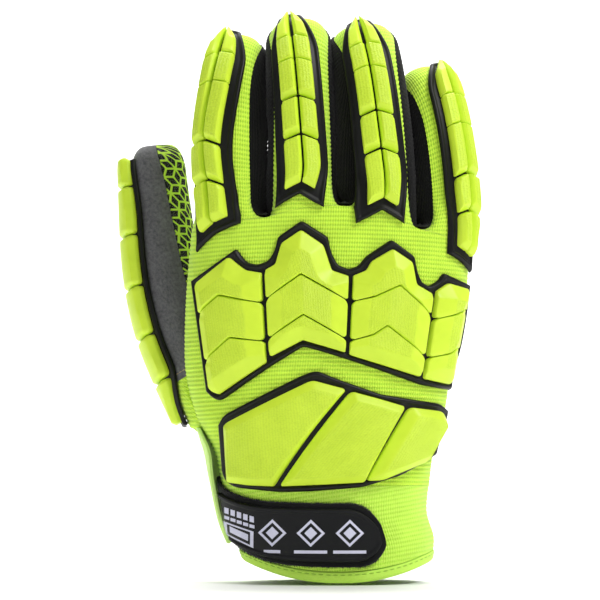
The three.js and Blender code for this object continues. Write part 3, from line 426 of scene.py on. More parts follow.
@dataclass
class Finger:
    """One finger: its place on the hand, its seams and its guard's rows."""

    name: str
    order: int
    x: float
    y: float
    length: float
    width: float
    depth: float
    lean: tuple[float, float]
    back: tuple[float, float]
    palm: tuple[float, float]
    spread: tuple[float, float]
    waist: float
    guard: tuple[float, ...]
    foot: tuple[float, float]
    level: float
    scale: float
    rows: tuple[float, ...]
    digit: Digit = field(init=False)
    root_height: float = field(init=False)

    def __post_init__(self) -> None:
        """Works out the digit from the shares."""
        heights = ROOTS.columns["height"]
        self.root_height = (heights[self.order] + heights[self.order + 1]) / 2 * ROOT_HEIGHT
        root = np.array([self.x * HAND_WIDTH / 2, self.y * HAND_DEPTH / 2, self.root_height])
        start, end = self.lean
        self.digit = Digit(
            root, self.length * FINGER_LENGTH, FINGER_TIP, self.width * FINGER_WIDTH / 2,
            self.depth * FINGER_DEPTH / 2, lambda share: mix(start, end, share * share), CURL, SWELL)

    def seams(self, side: Side, reach: Array) -> tuple[Array, Array]:
        """Turns of the two seams of one face.

        Args:
            side: back or palm.
            reach: millimetres along the finger.

        Returns:
            Left and right seam in degrees, drawn in where the side strip narrows.
        """
        share = SEAM_SHARE.read("share", reach / self.digit.length)
        own, other = (self.back, self.palm) if side is Side.BACK else (self.palm, self.back)
        whole = -360 if side is Side.BACK else 360
        left = mix((own[0] + other[0]) / 2, own[0], share) if self.order > 0 else own[0] + 0 * share
        right = mix((own[1] + other[1] + whole) / 2, own[1], share) if self.order < 3 else own[1] + 0 * share
        return left, right

    def reach_from(self, column: Array, reach: Array) -> Array:
        """Reach along the finger, measured near its root from the crotch of one column."""
        offset = crotch(column) - self.root_height
        return reach + offset * (1 - smooth(reach / (1.5 * ROOT_BLEND)))

    def skin(self, side: Side, across: Array, reach: Array, lift: Array | float,
             turn: Array | None = None) -> Array:
        """Point of a finger's back or palm, run down into the hand below its root.

        Args:
            side: back or palm.
            across: share from the left seam to the right one.
            reach: millimetres above the crotch of that place.
            lift: millimetres off the glove's skin.
            turn: degrees round the finger, where a guard lies by its own measure.

        Returns:
            Points in millimetres.
        """
        across, reach, lift = np.broadcast_arrays(*(np.asarray(v, float) for v in (across, reach, lift)))
        column = self.order + across
        level = crotch(column)
        left, right = self.seams(side, reach)
        sided = np.where(across > 0.5, self.order < 3, self.order > 0)
        dip = 1 if turn is None else GUARD_DIP
        edge = np.where(sided, dip * np.abs(2 * across - 1) ** 4, 0)
        root = column_point(side, column, level + np.where(reach > 0, reach * (1 - edge), reach), lift)
        around = mix(left, right, across) if turn is None else turn
        tube = self.digit.point(self.reach_from(column, reach), around, lift)
        weight = mix(smooth(reach / ROOT_BLEND), round_in(reach / CROTCH_ROUND), edge)
        return mix(root, tube, np.where(reach > 0, weight, 0)[..., None])

    def guard_point(self, across: Array, rise: Array, lift: Array | float) -> Array:
        """Point of the finger's guard.

        Args:
            across: millimetres from the guard's middle.
            rise: share of the finger's length.
            lift: millimetres off the glove's skin.

        Returns:
            Points in millimetres.
        """
        narrow = 1 - 0.55 * smooth((rise - 0.78) / 0.22)
        at_foot = np.where(across < 0, *self.foot)
        fall = mix(at_foot, 1, smooth((rise - self.rows[0]) / (self.rows[1] - self.rows[0])))
        slope = CHEVRON * self.scale * fall * mix(1, 0.4, smooth(rise))
        narrow *= mix(self.waist, 1, smooth(rise / 0.3))
        spin = np.degrees(across * self.scale * narrow / self.digit.half_width)
        turn = Table("turn", list(zip(GUARD_AT, self.guard))).read("turn", rise) - spin
        share = np.clip((self.spread[0] - turn) / (self.spread[0] - self.spread[1]), 0, 1)
        straight = rise * self.digit.length - slope * np.abs(across) / (FINGER_BLOCK_WIDTH / 2)
        offset = self.level * (crotch(self.order + share) - self.root_height)
        reach = straight - offset * (1 - smooth(straight / (1.5 * ROOT_BLEND)))
        return self.skin(Side.BACK, share, np.minimum(reach, self.digit.length * 0.99), lift, turn)


FINGERS = [
    Finger("index", 0, -0.675, 0.07, 0.98, 0.95, 1.0, (0, 0), (205, 61), (205, 300), (205, 61), 0.78,
           (120, 129, 134, 120, 100), (1, -0.5), 0, 1, (0.005, 0.23, 0.42, 0.68, 0.8, 0.95)),
    Finger("middle", 1, -0.19, -0.04, 0.985, 0.95, 1.02, (0, -4), (145, 30), (215, 325), (145, 20), 0.95,
           (85, 88, 92, 97, 103), (1, 1), 1, 1, (0.14, 0.37, 0.54, 0.7, 0.8, 0.95)),
    Finger("ring", 2, 0.35, -0.03, 0.99, 1.02, 1.02, (-1.5, -13), (120, 32), (215, 325), (122, 10), 0.84,
           (74, 80, 84, 87, 91), (1, 1), 1, 1, (0.09, 0.33, 0.5, 0.69, 0.79, 0.95)),
    Finger("little", 3, 0.845, 0.12, 0.9, 0.775, 0.88, (-3, -20), (114, -25), (240, 335), (138, -25), 1,
           (45, 45, 45, 45, 45), (-0.3, 0.3), 0, 0.82, (-0.05, 0.17, 0.355, 0.6, 0.74, 0.95)),
]
THUMB = Digit(
    np.array([-0.3 * HAND_WIDTH, 0.44 * HAND_DEPTH / 2, 0.35 * ROOT_HEIGHT]), THUMB_LENGTH, THUMB_TIP,
    THUMB_WIDTH / 2, THUMB_DEPTH / 2, lambda share: THUMB_LEAN.read("turn", share), THUMB_CURL, THUMB_SWELL)


def thumb_guard_point(across: Array, rise: Array, lift: Array | float) -> Array:
    """Point of the thumb's guard at millimetres across, a share up and a lift."""
    narrow = (1 - 0.35 * smooth((rise - 0.75) / 0.25)) * mix(0.3, 1, smooth((rise - THUMB_ROWS[0]) / 0.17))
    spin = np.degrees(across * narrow / THUMB.half_width)
    return THUMB.point(rise * THUMB.length, 172 - spin, lift)


def guard_place(edges: tuple[float, float, float, float], foot: float, height: float,
                width: float) -> Place:
    """Frame of a guard laid over the back of the hand.

    Args:
        edges: left edge at the foot and top, right edge at the foot and top, in half widths.
        foot: height of its lower edge.
        height: its height.
        width: its width.

    Returns:
        A function of shares across and up and a lift that gives points.
    """
    left_foot, left_top, right_foot, right_top = edges

    def place(across: Array, rise: Array, lift: Array) -> Array:
        """Point at shares across and up, with a lift."""
        left = mix(left_foot, left_top, rise) * width / 2
        right = mix(right_foot, right_top, rise) * width / 2
        return plan_point(mix(left, right, across), foot + rise * height, lift)

    return place


KNUCKLE_PLACE = guard_place(KNUCKLE_FRAME, KNUCKLE_FOOT, KNUCKLE_HEIGHT, KNUCKLE_WIDTH)
HAND_GUARD_PLACE = guard_place(HAND_GUARD_FRAME, HAND_GUARD_FOOT, HAND_GUARD_HEIGHT, HAND_GUARD_WIDTH)


class Shell:
    """Sheet with an outer and an inner face, closed round its edges."""

    def __init__(self, name: str) -> None:
        """Starts an empty sheet with the name of its piece."""
        self.name = name
        self.outer: list[Array] = []
        self.inner: list[Array] = []
        self.pattern: list[Array] = []
        self.quads: list[Array] = []
        self.count = 0

    def patch(self, outer: Array, inner: Array, pattern: Array, keep: Array | None = None,
              closed: bool = False) -> "Shell":
        """Adds a grid of corners.

        Args:
            outer: rows of outer points in millimetres.
            inner: the same rows on the inner face.
            pattern: millimetres across and along the cloth, and a tone, for each corner.
            keep: which corners the sheet has; a face goes if all its corners are out.
            closed: whether each row returns to its first corner.

        Returns:
            The sheet itself.
        """
        rows, columns = outer.shape[:2]
        r = np.arange(rows - 1)[:, None] * columns + self.count
        c = np.arange(columns if closed else columns - 1)[None, :]
        n = (c + 1) % columns
        quads = np.stack(np.broadcast_arrays(r + c, r + n, r + columns + n, r + columns + c),
            -1).reshape(-1, 4)
        if keep is not None:
            quads = quads[keep.reshape(-1)[quads - self.count].any(axis=1)]
        self.quads.append(quads)
        self.outer.append(outer.reshape(-1, 3))
        self.inner.append(inner.reshape(-1, 3))
        self.pattern.append(np.broadcast_to(pattern, outer.shape).reshape(-1, 3))
        self.count += rows * columns
        return self

    def build(self, sharp: float = 40.0) -> bpy.types.Object:
        """Welds the patches and closes them to one mesh.

        Args:
            sharp: edges turned by more degrees than this stay crisp.

        Returns:
            The piece as an object in the scene.
        """
        outer, inner = np.concatenate(self.outer), np.concatenate(self.inner)
        pattern, quads = np.concatenate(self.pattern), np.concatenate(self.quads)
        _, first, same = np.unique(np.round(outer, 3), axis=0, return_index=True, return_inverse=True)
        quads = same.reshape(-1)[quads]
        outer, inner, pattern = outer[first], inner[first], pattern[first]
        total = len(outer)
        starts, ends = quads.reshape(-1), np.roll(quads, -1, axis=1).reshape(-1)
        real = starts != ends
        starts, ends = starts[real], ends[real]
        rim = ~np.isin(starts * total + ends, ends * total + starts)
        a, b = starts[rim], ends[rim]
        back = quads[:, ::-1] + total
        faces = np.concatenate([quads, back, np.stack([a, a + total, b + total, b], -1)])
        points = np.concatenate([outer, inner])
        across = points[quads[:, 2]] - points[quads[:, 0]]
        along = points[quads[:, 3]] - points[quads[:, 1]]
        outward = np.einsum("ij,ij->i", np.cross(across, along), (outer - inner)[quads[:, 0]]).sum()
        if outward < 0:
            faces = faces[:, ::-1]
        return mesh_object(self.name, points, faces, np.concatenate([pattern, pattern]), sharp)


def mesh_object(name: str, points: Array, faces: Array, pattern: Array, sharp: float) -> bpy.types.Object:
    """Makes a piece from points and four-sided faces.

    Args:
        name: name of the piece.
        points: corners in millimetres.
        faces: rows of four corner numbers; a repeated number leaves a triangle.
        pattern: millimetres across and along, and a tone, at each corner.
        sharp: edges turned by more degrees than this stay crisp.

    Returns:
        The object, linked to the scene.
    """
    doubled = faces == np.roll(faces, -1, axis=1)
    whole = faces[~doubled.any(axis=1)]
    folded = [list(dict.fromkeys(row.tolist())) for row in faces[doubled.any(axis=1)]]
    folded = [row for row in folded if len(row) == 3]
    loops = np.concatenate([whole.reshape(-1), np.array(folded, int).reshape(-1)])
    sizes = np.concatenate([np.full(len(whole), 4), np.full(len(folded), 3)])
    name = f"{name}_look"
    mesh = bpy.data.meshes.new(name)
    mesh.vertices.add(len(points))
    mesh.vertices.foreach_set("co", (points * MM).reshape(-1))
    mesh.loops.add(len(loops))
    mesh.loops.foreach_set("vertex_index", loops.astype(np.int32))
    mesh.polygons.add(len(sizes))
    mesh.polygons.foreach_set("loop_start", (np.cumsum(sizes) - sizes).astype(np.int32))
    mesh.polygons.foreach_set("use_smooth", np.ones(len(sizes), bool))
    mesh.attributes.new("pattern", "FLOAT_VECTOR", "POINT").data.foreach_set("vector", pattern.reshape(-1))
    mesh.update(calc_edges=True)
    mesh.validate()
    mesh.set_sharp_from_angle(angle=math.radians(sharp))
    piece = bpy.data.objects.new(name, mesh)
    bpy.context.scene.collection.objects.link(piece)
    return piece


def joined(name: str, pieces: Sequence[bpy.types.Object]) -> bpy.types.Object:
    """Joins several meshes to one piece.

    Args:
        name: name of the piece.
        pieces: the objects, which go.

    Returns:
        The one object that is left.
    """
    with bpy.context.temp_override(active_object=pieces[0], selected_editable_objects=list(pieces)):
        bpy.ops.object.join()
    pieces[0].name = pieces[0].data.name = f"{name}_look"
    return pieces[0]


def cloth_area(piece: bpy.types.Object) -> float:
    """Half the surface of a sheet's mesh in square metres, which is its cloth."""
    return sum(face.area for face in piece.data.polygons) / 2


def as_sheet(piece: bpy.types.Object, flat: tuple[float, float]) -> None:
    """Logs a sheet's cloth area beside the flat size that it was cut to.

    Args:
        piece: the sheet.
        flat: width and length of the cut in millimetres.
    """
    width, length = flat[0] * MM, flat[1] * MM
    area = min(cloth_area(piece), width * length)
    log.info("%s: cloth %.0f cm2 of a %.0f x %.0f mm cut", piece.name, area * 1e4, *flat)


def linear(code: str) -> tuple[float, float, float, float]:
    """Turns an sRGB hex colour to the linear colour that a shader takes."""
    channels = [int(code[k:k + 2], 16) / 255 for k in (0, 2, 4)]
    return (*(c / 12.92 if c <= 0.04045 else ((c + 0.055) / 1.055) ** 2.4 for c in channels), 1.0)


def put(tree: bpy.types.NodeTree, kind: str, inputs: dict | None = None,
        **settings: object) -> bpy.types.Node:
    """Adds a node with its settings and links.

    Args:
        tree: the material's node tree.
        kind: the node's type.
        inputs: for each input's name or number, a value or the socket that feeds it.
        settings: the node's own properties.

    Returns:
        The new node.
    """
    node = tree.nodes.new(kind)
    for name, value in settings.items():
        setattr(node, name, value)
    for name, value in (inputs or {}).items():
        if isinstance(value, bpy.types.NodeSocket):
            tree.links.new(value, node.inputs[name])
        else:
            node.inputs[name].default_value = value
    return node


@dataclass(frozen=True)
class Finish:
    """Common ground of the finishes: a name, a roughness and a sheen."""

    name: str
    roughness: float = 0.8
    sheen: float = 0.0
    gloss: float = 0.15

    def make(self) -> bpy.types.Material:
        """Makes the material.

        Returns:
            The material with its colour and relief in place.
        """
        material = bpy.data.materials.new(self.name)
        material.use_nodes = True
        tree = material.node_tree
        shader = tree.nodes["Principled BSDF"]
        shader.inputs["Roughness"].default_value = self.roughness
        shader.inputs["Specular IOR Level"].default_value = self.gloss
        shader.inputs["Sheen Weight"].default_value = self.sheen
        shader.inputs["Sheen Roughness"].default_value = 0.5
        place = put(tree, "ShaderNodeAttribute", attribute_name="pattern").outputs["Vector"]
        self.dress(tree, shader, place)
        return material

    def dress(self, tree: bpy.types.NodeTree, shader: bpy.types.Node, place: bpy.types.NodeSocket) -> None:
        """Adds the finish's own nodes; each finish has its own."""
        raise NotImplementedError


@dataclass(frozen=True)
class RibKnit(Finish):
    """Polyester rib knit: raised rows with fine upright stitches across them, matte and a little fuzzy, with
    painted shade in the grooves and between the stitches.
    """

    # Painted light: the first colour is the knit as lit on the rib's crest, the second the same knit painted
    # darker as shade in its hollow
    lit_ridge: str = "d8ff4e"
    groove: str = "aee03a"
    pitch: float = RIB_PITCH
    # Real stitches are finer; they are drawn this wide so that they show
    stitch: float = 1.15
    relief: float = 0.25

    def dress(self, tree: bpy.types.NodeTree, shader: bpy.types.Node, place: bpy.types.NodeSocket) -> None:
        """Rib rows, stitches and yarn in the colour, as painted shade in their hollows and light on their
        crests, and stitches and yarn in the relief.

        Args:
            tree: the material's node tree.
            shader: its shader.
            place: millimetres across and along the cloth.
        """
        axes = put(tree, "ShaderNodeSeparateXYZ", {0: place}).outputs
        # The rib's crest is where the wave of the mesh has its crest
        wave = put(tree, "ShaderNodeMath", {0: put(tree, "ShaderNodeMath", {
            0: axes["Y"], 1: 2 * math.pi / self.pitch}, operation="MULTIPLY").outputs[0]}, operation="COSINE")
        loops = put(tree, "ShaderNodeMath", {0: put(tree, "ShaderNodeMath", {
            0: axes["X"], 1: 2 * math.pi / self.stitch}, operation="MULTIPLY").outputs[0]},
            operation="COSINE")
        yarn = put(tree, "ShaderNodeTexNoise",
            {"Vector": place, "Scale": 1.1, "Detail": 3.0, "Roughness": 0.6})
        soft = put(tree, "ShaderNodeTexNoise", {"Vector": place, "Scale": 0.09, "Detail": 2.0})
        # Painted shade: the colour runs from the shaded groove to the lit ridge with the ribs of the mesh;
        # stitches and yarn darken it where their relief dips and lighten it where it rises, and the yarn also
        # varies the tone at random
        rows = put(tree, "ShaderNodeMath", {0: wave.outputs[0], 1: 0.5, 2: 0.5}, operation="MULTIPLY_ADD")
        stitch_and_row_shade = put(tree, "ShaderNodeMath", {0: loops.outputs[0], 1: 0.42, 2: rows.outputs[0]},
                     operation="MULTIPLY_ADD")
        uneven = put(tree, "ShaderNodeMath", {0: yarn.outputs["Fac"], 1: 0.5, 2: stitch_and_row_shade.outputs[0]},
                     operation="MULTIPLY_ADD")
        ramp = put(tree, "ShaderNodeValToRGB", {0: uneven.outputs[0]})
        ramp.color_ramp.elements[0].position, ramp.color_ramp.elements[0].color = 0.1, linear(self.groove)
        ramp.color_ramp.elements[1].position, ramp.color_ramp.elements[1].color = 0.95, linear(self.lit_ridge)
        tint = put(tree, "ShaderNodeHueSaturation", {
            "Value": put(tree, "ShaderNodeMapRange", {
                "Value": soft.outputs["Fac"], "From Min": 0.3, "From Max": 0.7, "To Min": 0.94,
                "To Max": 1.05}).outputs[0],
            "Color": ramp.outputs["Color"]})
        height = put(tree, "ShaderNodeMath", {0: loops.outputs[0], 1: 0.6, 2: yarn.outputs["Fac"]},
                     operation="MULTIPLY_ADD")
        bump = put(tree, "ShaderNodeBump", {
            "Height": height.outputs[0], "Strength": 0.7, "Distance": self.relief * MM})
        tree.links.new(tint.outputs["Color"], shader.inputs["Base Color"])
        tree.links.new(bump.outputs["Normal"], shader.inputs["Normal"])


@dataclass(frozen=True)
class MouldedRubber(Finish):
    """Thermoplastic rubber, moulded: smooth bevels, and fine dashes stippled on the flat tops."""

    # The second colour serves for random flecks, and as painted shade in the stipple on the flat tops
    light: str = "d8f43e"
    dark: str = "b2d424"
    # The mould's real stipple is finer; it is drawn this wide so that it shows
    grain: float = 1.25
    stipple: float = 0.3
    body: float = 0.0

    def dress(self, tree: bpy.types.NodeTree, shader: bpy.types.Node, place: bpy.types.NodeSocket) -> None:
        """Soft change of colour, with dashes where the tone says the top is flat, painted darker as shade
        where they sink.

        Args:
            tree: the material's node tree.
            shader: its shader.
            place: millimetres across and along the block, and its tone.
        """
        axes = put(tree, "ShaderNodeSeparateXYZ", {0: place}).outputs
        cloud = put(tree, "ShaderNodeTexNoise", {"Vector": place, "Scale": 0.12, "Detail": 3.0})
        # Dashes: short strokes in staggered rows, one grain wide and half as high
        stretch = put(tree, "ShaderNodeVectorMath", {0: place, 1: (1 / self.grain, 2 / self.grain, 0)},
                      operation="MULTIPLY")
        dashes = put(tree, "ShaderNodeTexVoronoi",
            {"Vector": stretch.outputs[0], "Scale": 1.0, "Randomness": 0.35},
                     voronoi_dimensions="2D")
        masked = put(tree, "ShaderNodeMath", {0: dashes.outputs["Distance"], 1: axes["Z"]},
            operation="MULTIPLY")
        # Painted shade: where the bump sinks the stipple, the colour goes towards the dark one, which darkens
        # the flat tops as a whole
        share = put(tree, "ShaderNodeMapRange", {
            "Value": masked.outputs[0], "From Min": 0.2, "From Max": 0.7, "To Min": 0.0, "To Max": 0.45})
        fleck = put(tree, "ShaderNodeMapRange", {
            "Value": cloud.outputs["Fac"], "From Min": 0.3, "From Max": 0.7, "To Min": 0.0, "To Max": 0.25})
        both = put(tree, "ShaderNodeMath", {0: share.outputs[0], 1: fleck.outputs[0]}, operation="ADD")
        colour = put(tree, "ShaderNodeMix", {
            "Factor": both.outputs[0], "A": linear(self.light), "B": linear(self.dark)}, data_type="RGBA")
        bump = put(tree, "ShaderNodeBump", {
            "Height": masked.outputs[0], "Strength": 0.9, "Distance": self.stipple * MM}, invert=True)
        shader.inputs["Subsurface Weight"].default_value = self.body
        shader.inputs["Subsurface Radius"].default_value = (0.004, 0.004, 0.001)
        shader.inputs["Subsurface Scale"].default_value = 0.6
        tree.links.new(colour.outputs["Result"], shader.inputs["Base Color"])
        tree.links.new(bump.outputs["Normal"], shader.inputs["Normal"])


@dataclass(frozen=True)
class GrainedCloth(Finish):
    """Suede, pile or plain cloth: an uneven surface of fine fibres with a soft change of colour."""

    light: str = "6a6a6c"
    dark: str = "3e3e40"
    # Real fibres are hair-thin; they are drawn as tufts this wide so that they show
    grain: float = 0.5
    relief: float = 0.15

    def dress(self, tree: bpy.types.NodeTree, shader: bpy.types.Node, place: bpy.types.NodeSocket) -> None:
        """Fine fibres over broad patches.

        Args:
            tree: the material's node tree.
            shader: its shader.
            place: millimetres across and along the cloth.
        """
        fibre = put(tree, "ShaderNodeTexNoise", {
            "Vector": place, "Scale": 0.5 / self.grain, "Detail": 4.0, "Roughness": 0.7})
        patch = put(tree, "ShaderNodeTexNoise", {"Vector": place, "Scale": 0.12, "Detail": 2.0})
        both = put(tree, "ShaderNodeMath", {0: patch.outputs["Fac"], 1: 0.35, 2: fibre.outputs["Fac"]},
                   operation="MULTIPLY_ADD")
        share = put(tree, "ShaderNodeMapRange",
            {"Value": both.outputs[0], "From Min": 0.42, "From Max": 0.93})
        colour = put(tree, "ShaderNodeMix", {
            "Factor": share.outputs[0], "A": linear(self.dark), "B": linear(self.light)}, data_type="RGBA")
        bump = put(tree, "ShaderNodeBump", {
            "Height": fibre.outputs["Fac"], "Strength": 0.6, "Distance": self.relief * MM})
        tree.links.new(colour.outputs["Result"], shader.inputs["Base Color"])
        tree.links.new(bump.outputs["Normal"], shader.inputs["Normal"])


@dataclass(frozen=True)
class PrintedMesh(Finish):
    """Black mesh cloth, coated and printed with lozenges in threes, a traditional tumbling-block net."""

    cloth: str = "151715"
    speck: str = "8c908c"
    line: str = "c6ec50"
    edge: float = 4.6
    width: float = 1.0

    def dress(self, tree: bpy.types.NodeTree, shader: bpy.types.Node, place: bpy.types.NodeSocket) -> None:
        """Lattice lines raised over a speckled cloth.

        Args:
            tree: the material's node tree.
            shader: its shader.
            place: millimetres across and along the cloth.
        """
        # Three sets of lines 60 degrees apart cut the plane into triangles of side edge.
        # Each line keeps two strokes of every three, which leaves lozenges in threes.
        height = self.edge * math.sqrt(3) / 2
        nearest = None
        for turn in (0, 60, 120):
            across = (-math.sin(math.radians(turn)) / height, math.cos(math.radians(turn)) / height, 0)
            along = (math.cos(math.radians(turn)) / self.edge, math.sin(math.radians(turn)) / self.edge, 0)
            level = put(tree, "ShaderNodeVectorMath", {0: place, 1: across},
                operation="DOT_PRODUCT").outputs["Value"]
            run = put(tree, "ShaderNodeVectorMath", {0: place, 1: along},
                operation="DOT_PRODUCT").outputs["Value"]
            row = put(tree, "ShaderNodeMath", {0: level}, operation="ROUND").outputs[0]
            gap = put(tree, "ShaderNodeMath", {0: put(tree, "ShaderNodeMath", {
                0: level, 1: row}, operation="SUBTRACT").outputs[0]}, operation="ABSOLUTE").outputs[0]
            # Strokes start half an edge later on each next row
            start = put(tree, "ShaderNodeMath", {0: row, 1: 1.5, 2: put(tree, "ShaderNodeMath", {
                0: run, 1: 2.0 if turn == 60 else 0.0}, operation="ADD").outputs[0]},
                operation="MULTIPLY_ADD").outputs[0]
            share = put(tree, "ShaderNodeMath", {0: start, 1: 3.0}, operation="FLOORED_MODULO").outputs[0]
            missing = put(tree, "ShaderNodeMath", {0: share, 1: 2.0}, operation="GREATER_THAN").outputs[0]
            reach = put(tree, "ShaderNodeMath", {0: missing, 1: 5.0, 2: gap},
                operation="MULTIPLY_ADD").outputs[0]
            nearest = reach if nearest is None else put(tree, "ShaderNodeMath", {
                0: nearest, 1: reach}, operation="MINIMUM").outputs[0]
        half = self.width / 2 / height
        printed = put(tree, "ShaderNodeMapRange", {
            "Value": nearest, "From Min": half * 0.8, "From Max": half * 1.2, "To Min": 1.0, "To Max": 0.0})
        specks = put(tree, "ShaderNodeTexVoronoi", {"Vector": place, "Scale": 1.25, "Randomness": 0.8},
                     voronoi_dimensions="2D")
        fleck = put(tree, "ShaderNodeMapRange", {
            "Value": specks.outputs["Distance"], "From Min": 0.1, "From Max": 0.3, "To Min": 0.7,
            "To Max": 0.0})
        ground = put(tree, "ShaderNodeMix", {
            "Factor": fleck.outputs[0], "A": linear(self.cloth), "B": linear(self.speck)}, data_type="RGBA")
        colour = put(tree, "ShaderNodeMix", {
            "Factor": printed.outputs[0], "A": ground.outputs["Result"], "B": linear(self.line)},
            data_type="RGBA")
        raised = put(tree, "ShaderNodeMath", {0: fleck.outputs[0], 1: 0.4, 2: printed.outputs[0]},
                     operation="MULTIPLY_ADD")
        bump = put(tree, "ShaderNodeBump", {
            "Height": raised.outputs[0], "Strength": 0.7, "Distance": 0.3 * MM})
        tree.links.new(colour.outputs["Result"], shader.inputs["Base Color"])
        tree.links.new(bump.outputs["Normal"], shader.inputs["Normal"])


@dataclass
class Finishes:
    """The materials of the glove, made once."""

    # Polyester yarn knitted in ribs: matte rows, lit on their crests and painted darker in the grooves as
    # shade, and a little fuzz
    knit: bpy.types.Material = field(default_factory=RibKnit("rib_knit_polyester", 0.85, 0.25).make)
    # The same rib knit stretched round the wrist, which opens its rows and makes it look paler; its grooves
    # are still painted darker as shade
    cuff: bpy.types.Material = field(default_factory=RibKnit(
        "rib_knit_cuff", 0.85, 0.25, lit_ridge="d4fe60", groove="b6ec44").make)
    # Dyed rib knit, so dark that only its rows and stitches catch some light; its grooves are painted darker
    # still as shade
    strip: bpy.types.Material = field(default_factory=RibKnit(
        "black_rib_knit", 0.9, 0.1, lit_ridge="0c0c0c", groove="030303", stitch=0.9).make)
    # Coated mesh cloth printed through a screen: matte, with lines that stand a little proud
    palm: bpy.types.Material = field(default_factory=PrintedMesh("printed_mesh_cloth", 0.7).make)
    # Microfibre cloth brushed to a nap: matte and mottled, with a soft sheen
    suede: bpy.types.Material = field(default_factory=GrainedCloth("microfibre_suede", 0.95, 0.3,
        light="747476", dark="464648", grain=0.8).make)
    # Narrow woven tape folded over the edge: smooth, even and matte
    binding: bpy.types.Material = field(default_factory=GrainedCloth(
        "woven_binding_tape", 0.8, 0.2, light="d2fb6a", dark="c2f256", grain=0.4, relief=0.06).make)
    # Thin knit without ribs: pale and smooth
    flap: bpy.types.Material = field(default_factory=GrainedCloth(
        "thin_lining_knit", 0.8, 0.2, light="e0ffa0", dark="d0fa84", grain=0.4, relief=0.06).make)
    # Woven tape with a loop pile: black and rough, so that it swallows light
    pile: bpy.types.Material = field(default_factory=GrainedCloth(
        "loop_pile_tape", 0.95, 0.3, light="101114", dark="040405", grain=0.35, relief=0.4).make)
    # Thermoplastic rubber moulded against a stippled face: satin tops between smooth bevels, the tops painted
    # a little darker as shade in the stipple
    block: bpy.types.Material = field(default_factory=MouldedRubber(
        "moulded_rubber_yellow_green", 0.42, gloss=0.4, body=0.08).make)
    # The same rubber moulded thin and black: a satin glint on its bead
    base: bpy.types.Material = field(default_factory=MouldedRubber(
        "moulded_rubber_black", 0.45, gloss=0.3, light="090a09", dark="060706").make)
    # Rubber moulded in one piece with its rim: black, a little duller than the guards
    tab: bpy.types.Material = field(default_factory=MouldedRubber(
        "moulded_rubber_tab", 0.5, gloss=0.25, light="0d0e11", dark="090a0c").make)
    # Ink pressed through a screen in a thin layer: pale, flat and matte
    mark: bpy.types.Material = field(default_factory=GrainedCloth(
        "screen_printed_ink", 0.6, light="d8d8ee", dark="ccccdf", grain=0.3, relief=0.03).make)
    # Twisted polyester thread: a dull shine on each short stitch
    thread: bpy.types.Material = field(default_factory=GrainedCloth(
        "polyester_sewing_thread", 0.7, 0.2, light="a8d84c", dark="8dbd38", grain=0.2, relief=0.05).make)
    # The same thread, dyed tan
    tan_thread: bpy.types.Material = field(default_factory=GrainedCloth(
        "tan_sewing_thread", 0.7, 0.2, light="c8b48c", dark="a8946c", grain=0.2, relief=0.05).make)


def place_piece(piece: bpy.types.Object, material: bpy.types.Material, slot: str,
        *nodes: str) -> bpy.types.Object:
    """Gives a piece its material and body, and hides the CAD nodes that it stands for.

    Args:
        piece: the object.
        material: its finish.
        slot: not used.
        nodes: CAD nodes that it stands for.

    Returns:
        The piece itself.
    """
    piece.data.materials.clear()
    piece.data.materials.append(material)
    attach(piece, "root")
    if nodes:
        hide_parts(*nodes)
        low = np.min([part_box(node)[0] for node in nodes], axis=0)
        high = np.max([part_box(node)[1] for node in nodes], axis=0)
        corners = np.array([piece.matrix_world @ Vector(c) for c in piece.bound_box])
        apart = max(np.abs(corners.min(0) - low).max(), np.abs(corners.max(0) - high).max()) / MM
        log.info("%s: %d faces, %.1f mm from its nodes' box", piece.name, len(piece.data.polygons), apart)
    return piece


def sewn(name: str, line: Array, out: Array, stitch: float, gap: float, fat: float) -> bpy.types.Object:
    """Lays a row of stitches along a line.

    Args:
        name: name of the piece.
        line: points of the line in millimetres.
        out: direction away from the cloth at each point.
        stitch: length of one stitch.
        gap: cloth between two stitches.
        fat: half the thread's thickness.

    Returns:
        All stitches as one piece.
    """
    run = np.concatenate([[0], np.cumsum(np.linalg.norm(np.diff(line, axis=0), axis=1))])
    shell = Shell(name)
    angle = np.linspace(0, 2 * math.pi, 8, endpoint=False)[None, :, None]
    for start in np.arange(0, run[-1] - stitch, stitch + gap):
        places = start + np.linspace(0, stitch, 7)
        middle, rise = (np.stack([np.interp(places, run, points[:, k]) for k in range(3)], -1)
                        for points in (line, out))
        rise /= np.linalg.norm(rise, axis=1, keepdims=True)
        aside = np.cross(np.gradient(middle, axis=0), rise)
        aside /= np.linalg.norm(aside, axis=1, keepdims=True)
        size = fat * round_in(1 - np.abs(np.linspace(-1, 1, 7)) * 0.97)[:, None, None]
        ring = middle[:, None] + size * (np.cos(angle) * rise[:, None] + np.sin(angle) * aside[:, None])
        pattern = np.stack(np.broadcast_arrays(0 * ring[..., 0], places[:, None], 0), -1)
        shell.patch(ring, middle[:, None] + 0 * ring, pattern, closed=True)
    return shell.build(60)


def arc_lengths(points: Array, axis: int) -> Array:
    """Distance run along one direction of a grid of points, from its start."""
    steps = np.linalg.norm(np.diff(points, axis=axis), axis=-1)
    pad = [(0, 0), (0, 0)]
    pad[axis] = (1, 0)
    return np.cumsum(np.pad(steps, pad), axis=axis)


def rib_lift(along: Array, amplitude: float, pitch: float = RIB_PITCH) -> Array:
    """Height of the knit's ribs at millimetres along the cloth."""
    return amplitude * np.cos(2 * np.pi * along / pitch)


def finger_reaches(digit: Digit, step: float) -> Array:
    """Places along a digit for its rows of corners, closer together over its tip."""
    body = digit.length - digit.tip
    low = np.arange(step, body, step)
    high = body + digit.tip * np.sin(np.linspace(0, math.pi / 2 * 0.995, 22))
    return np.concatenate([low, high])


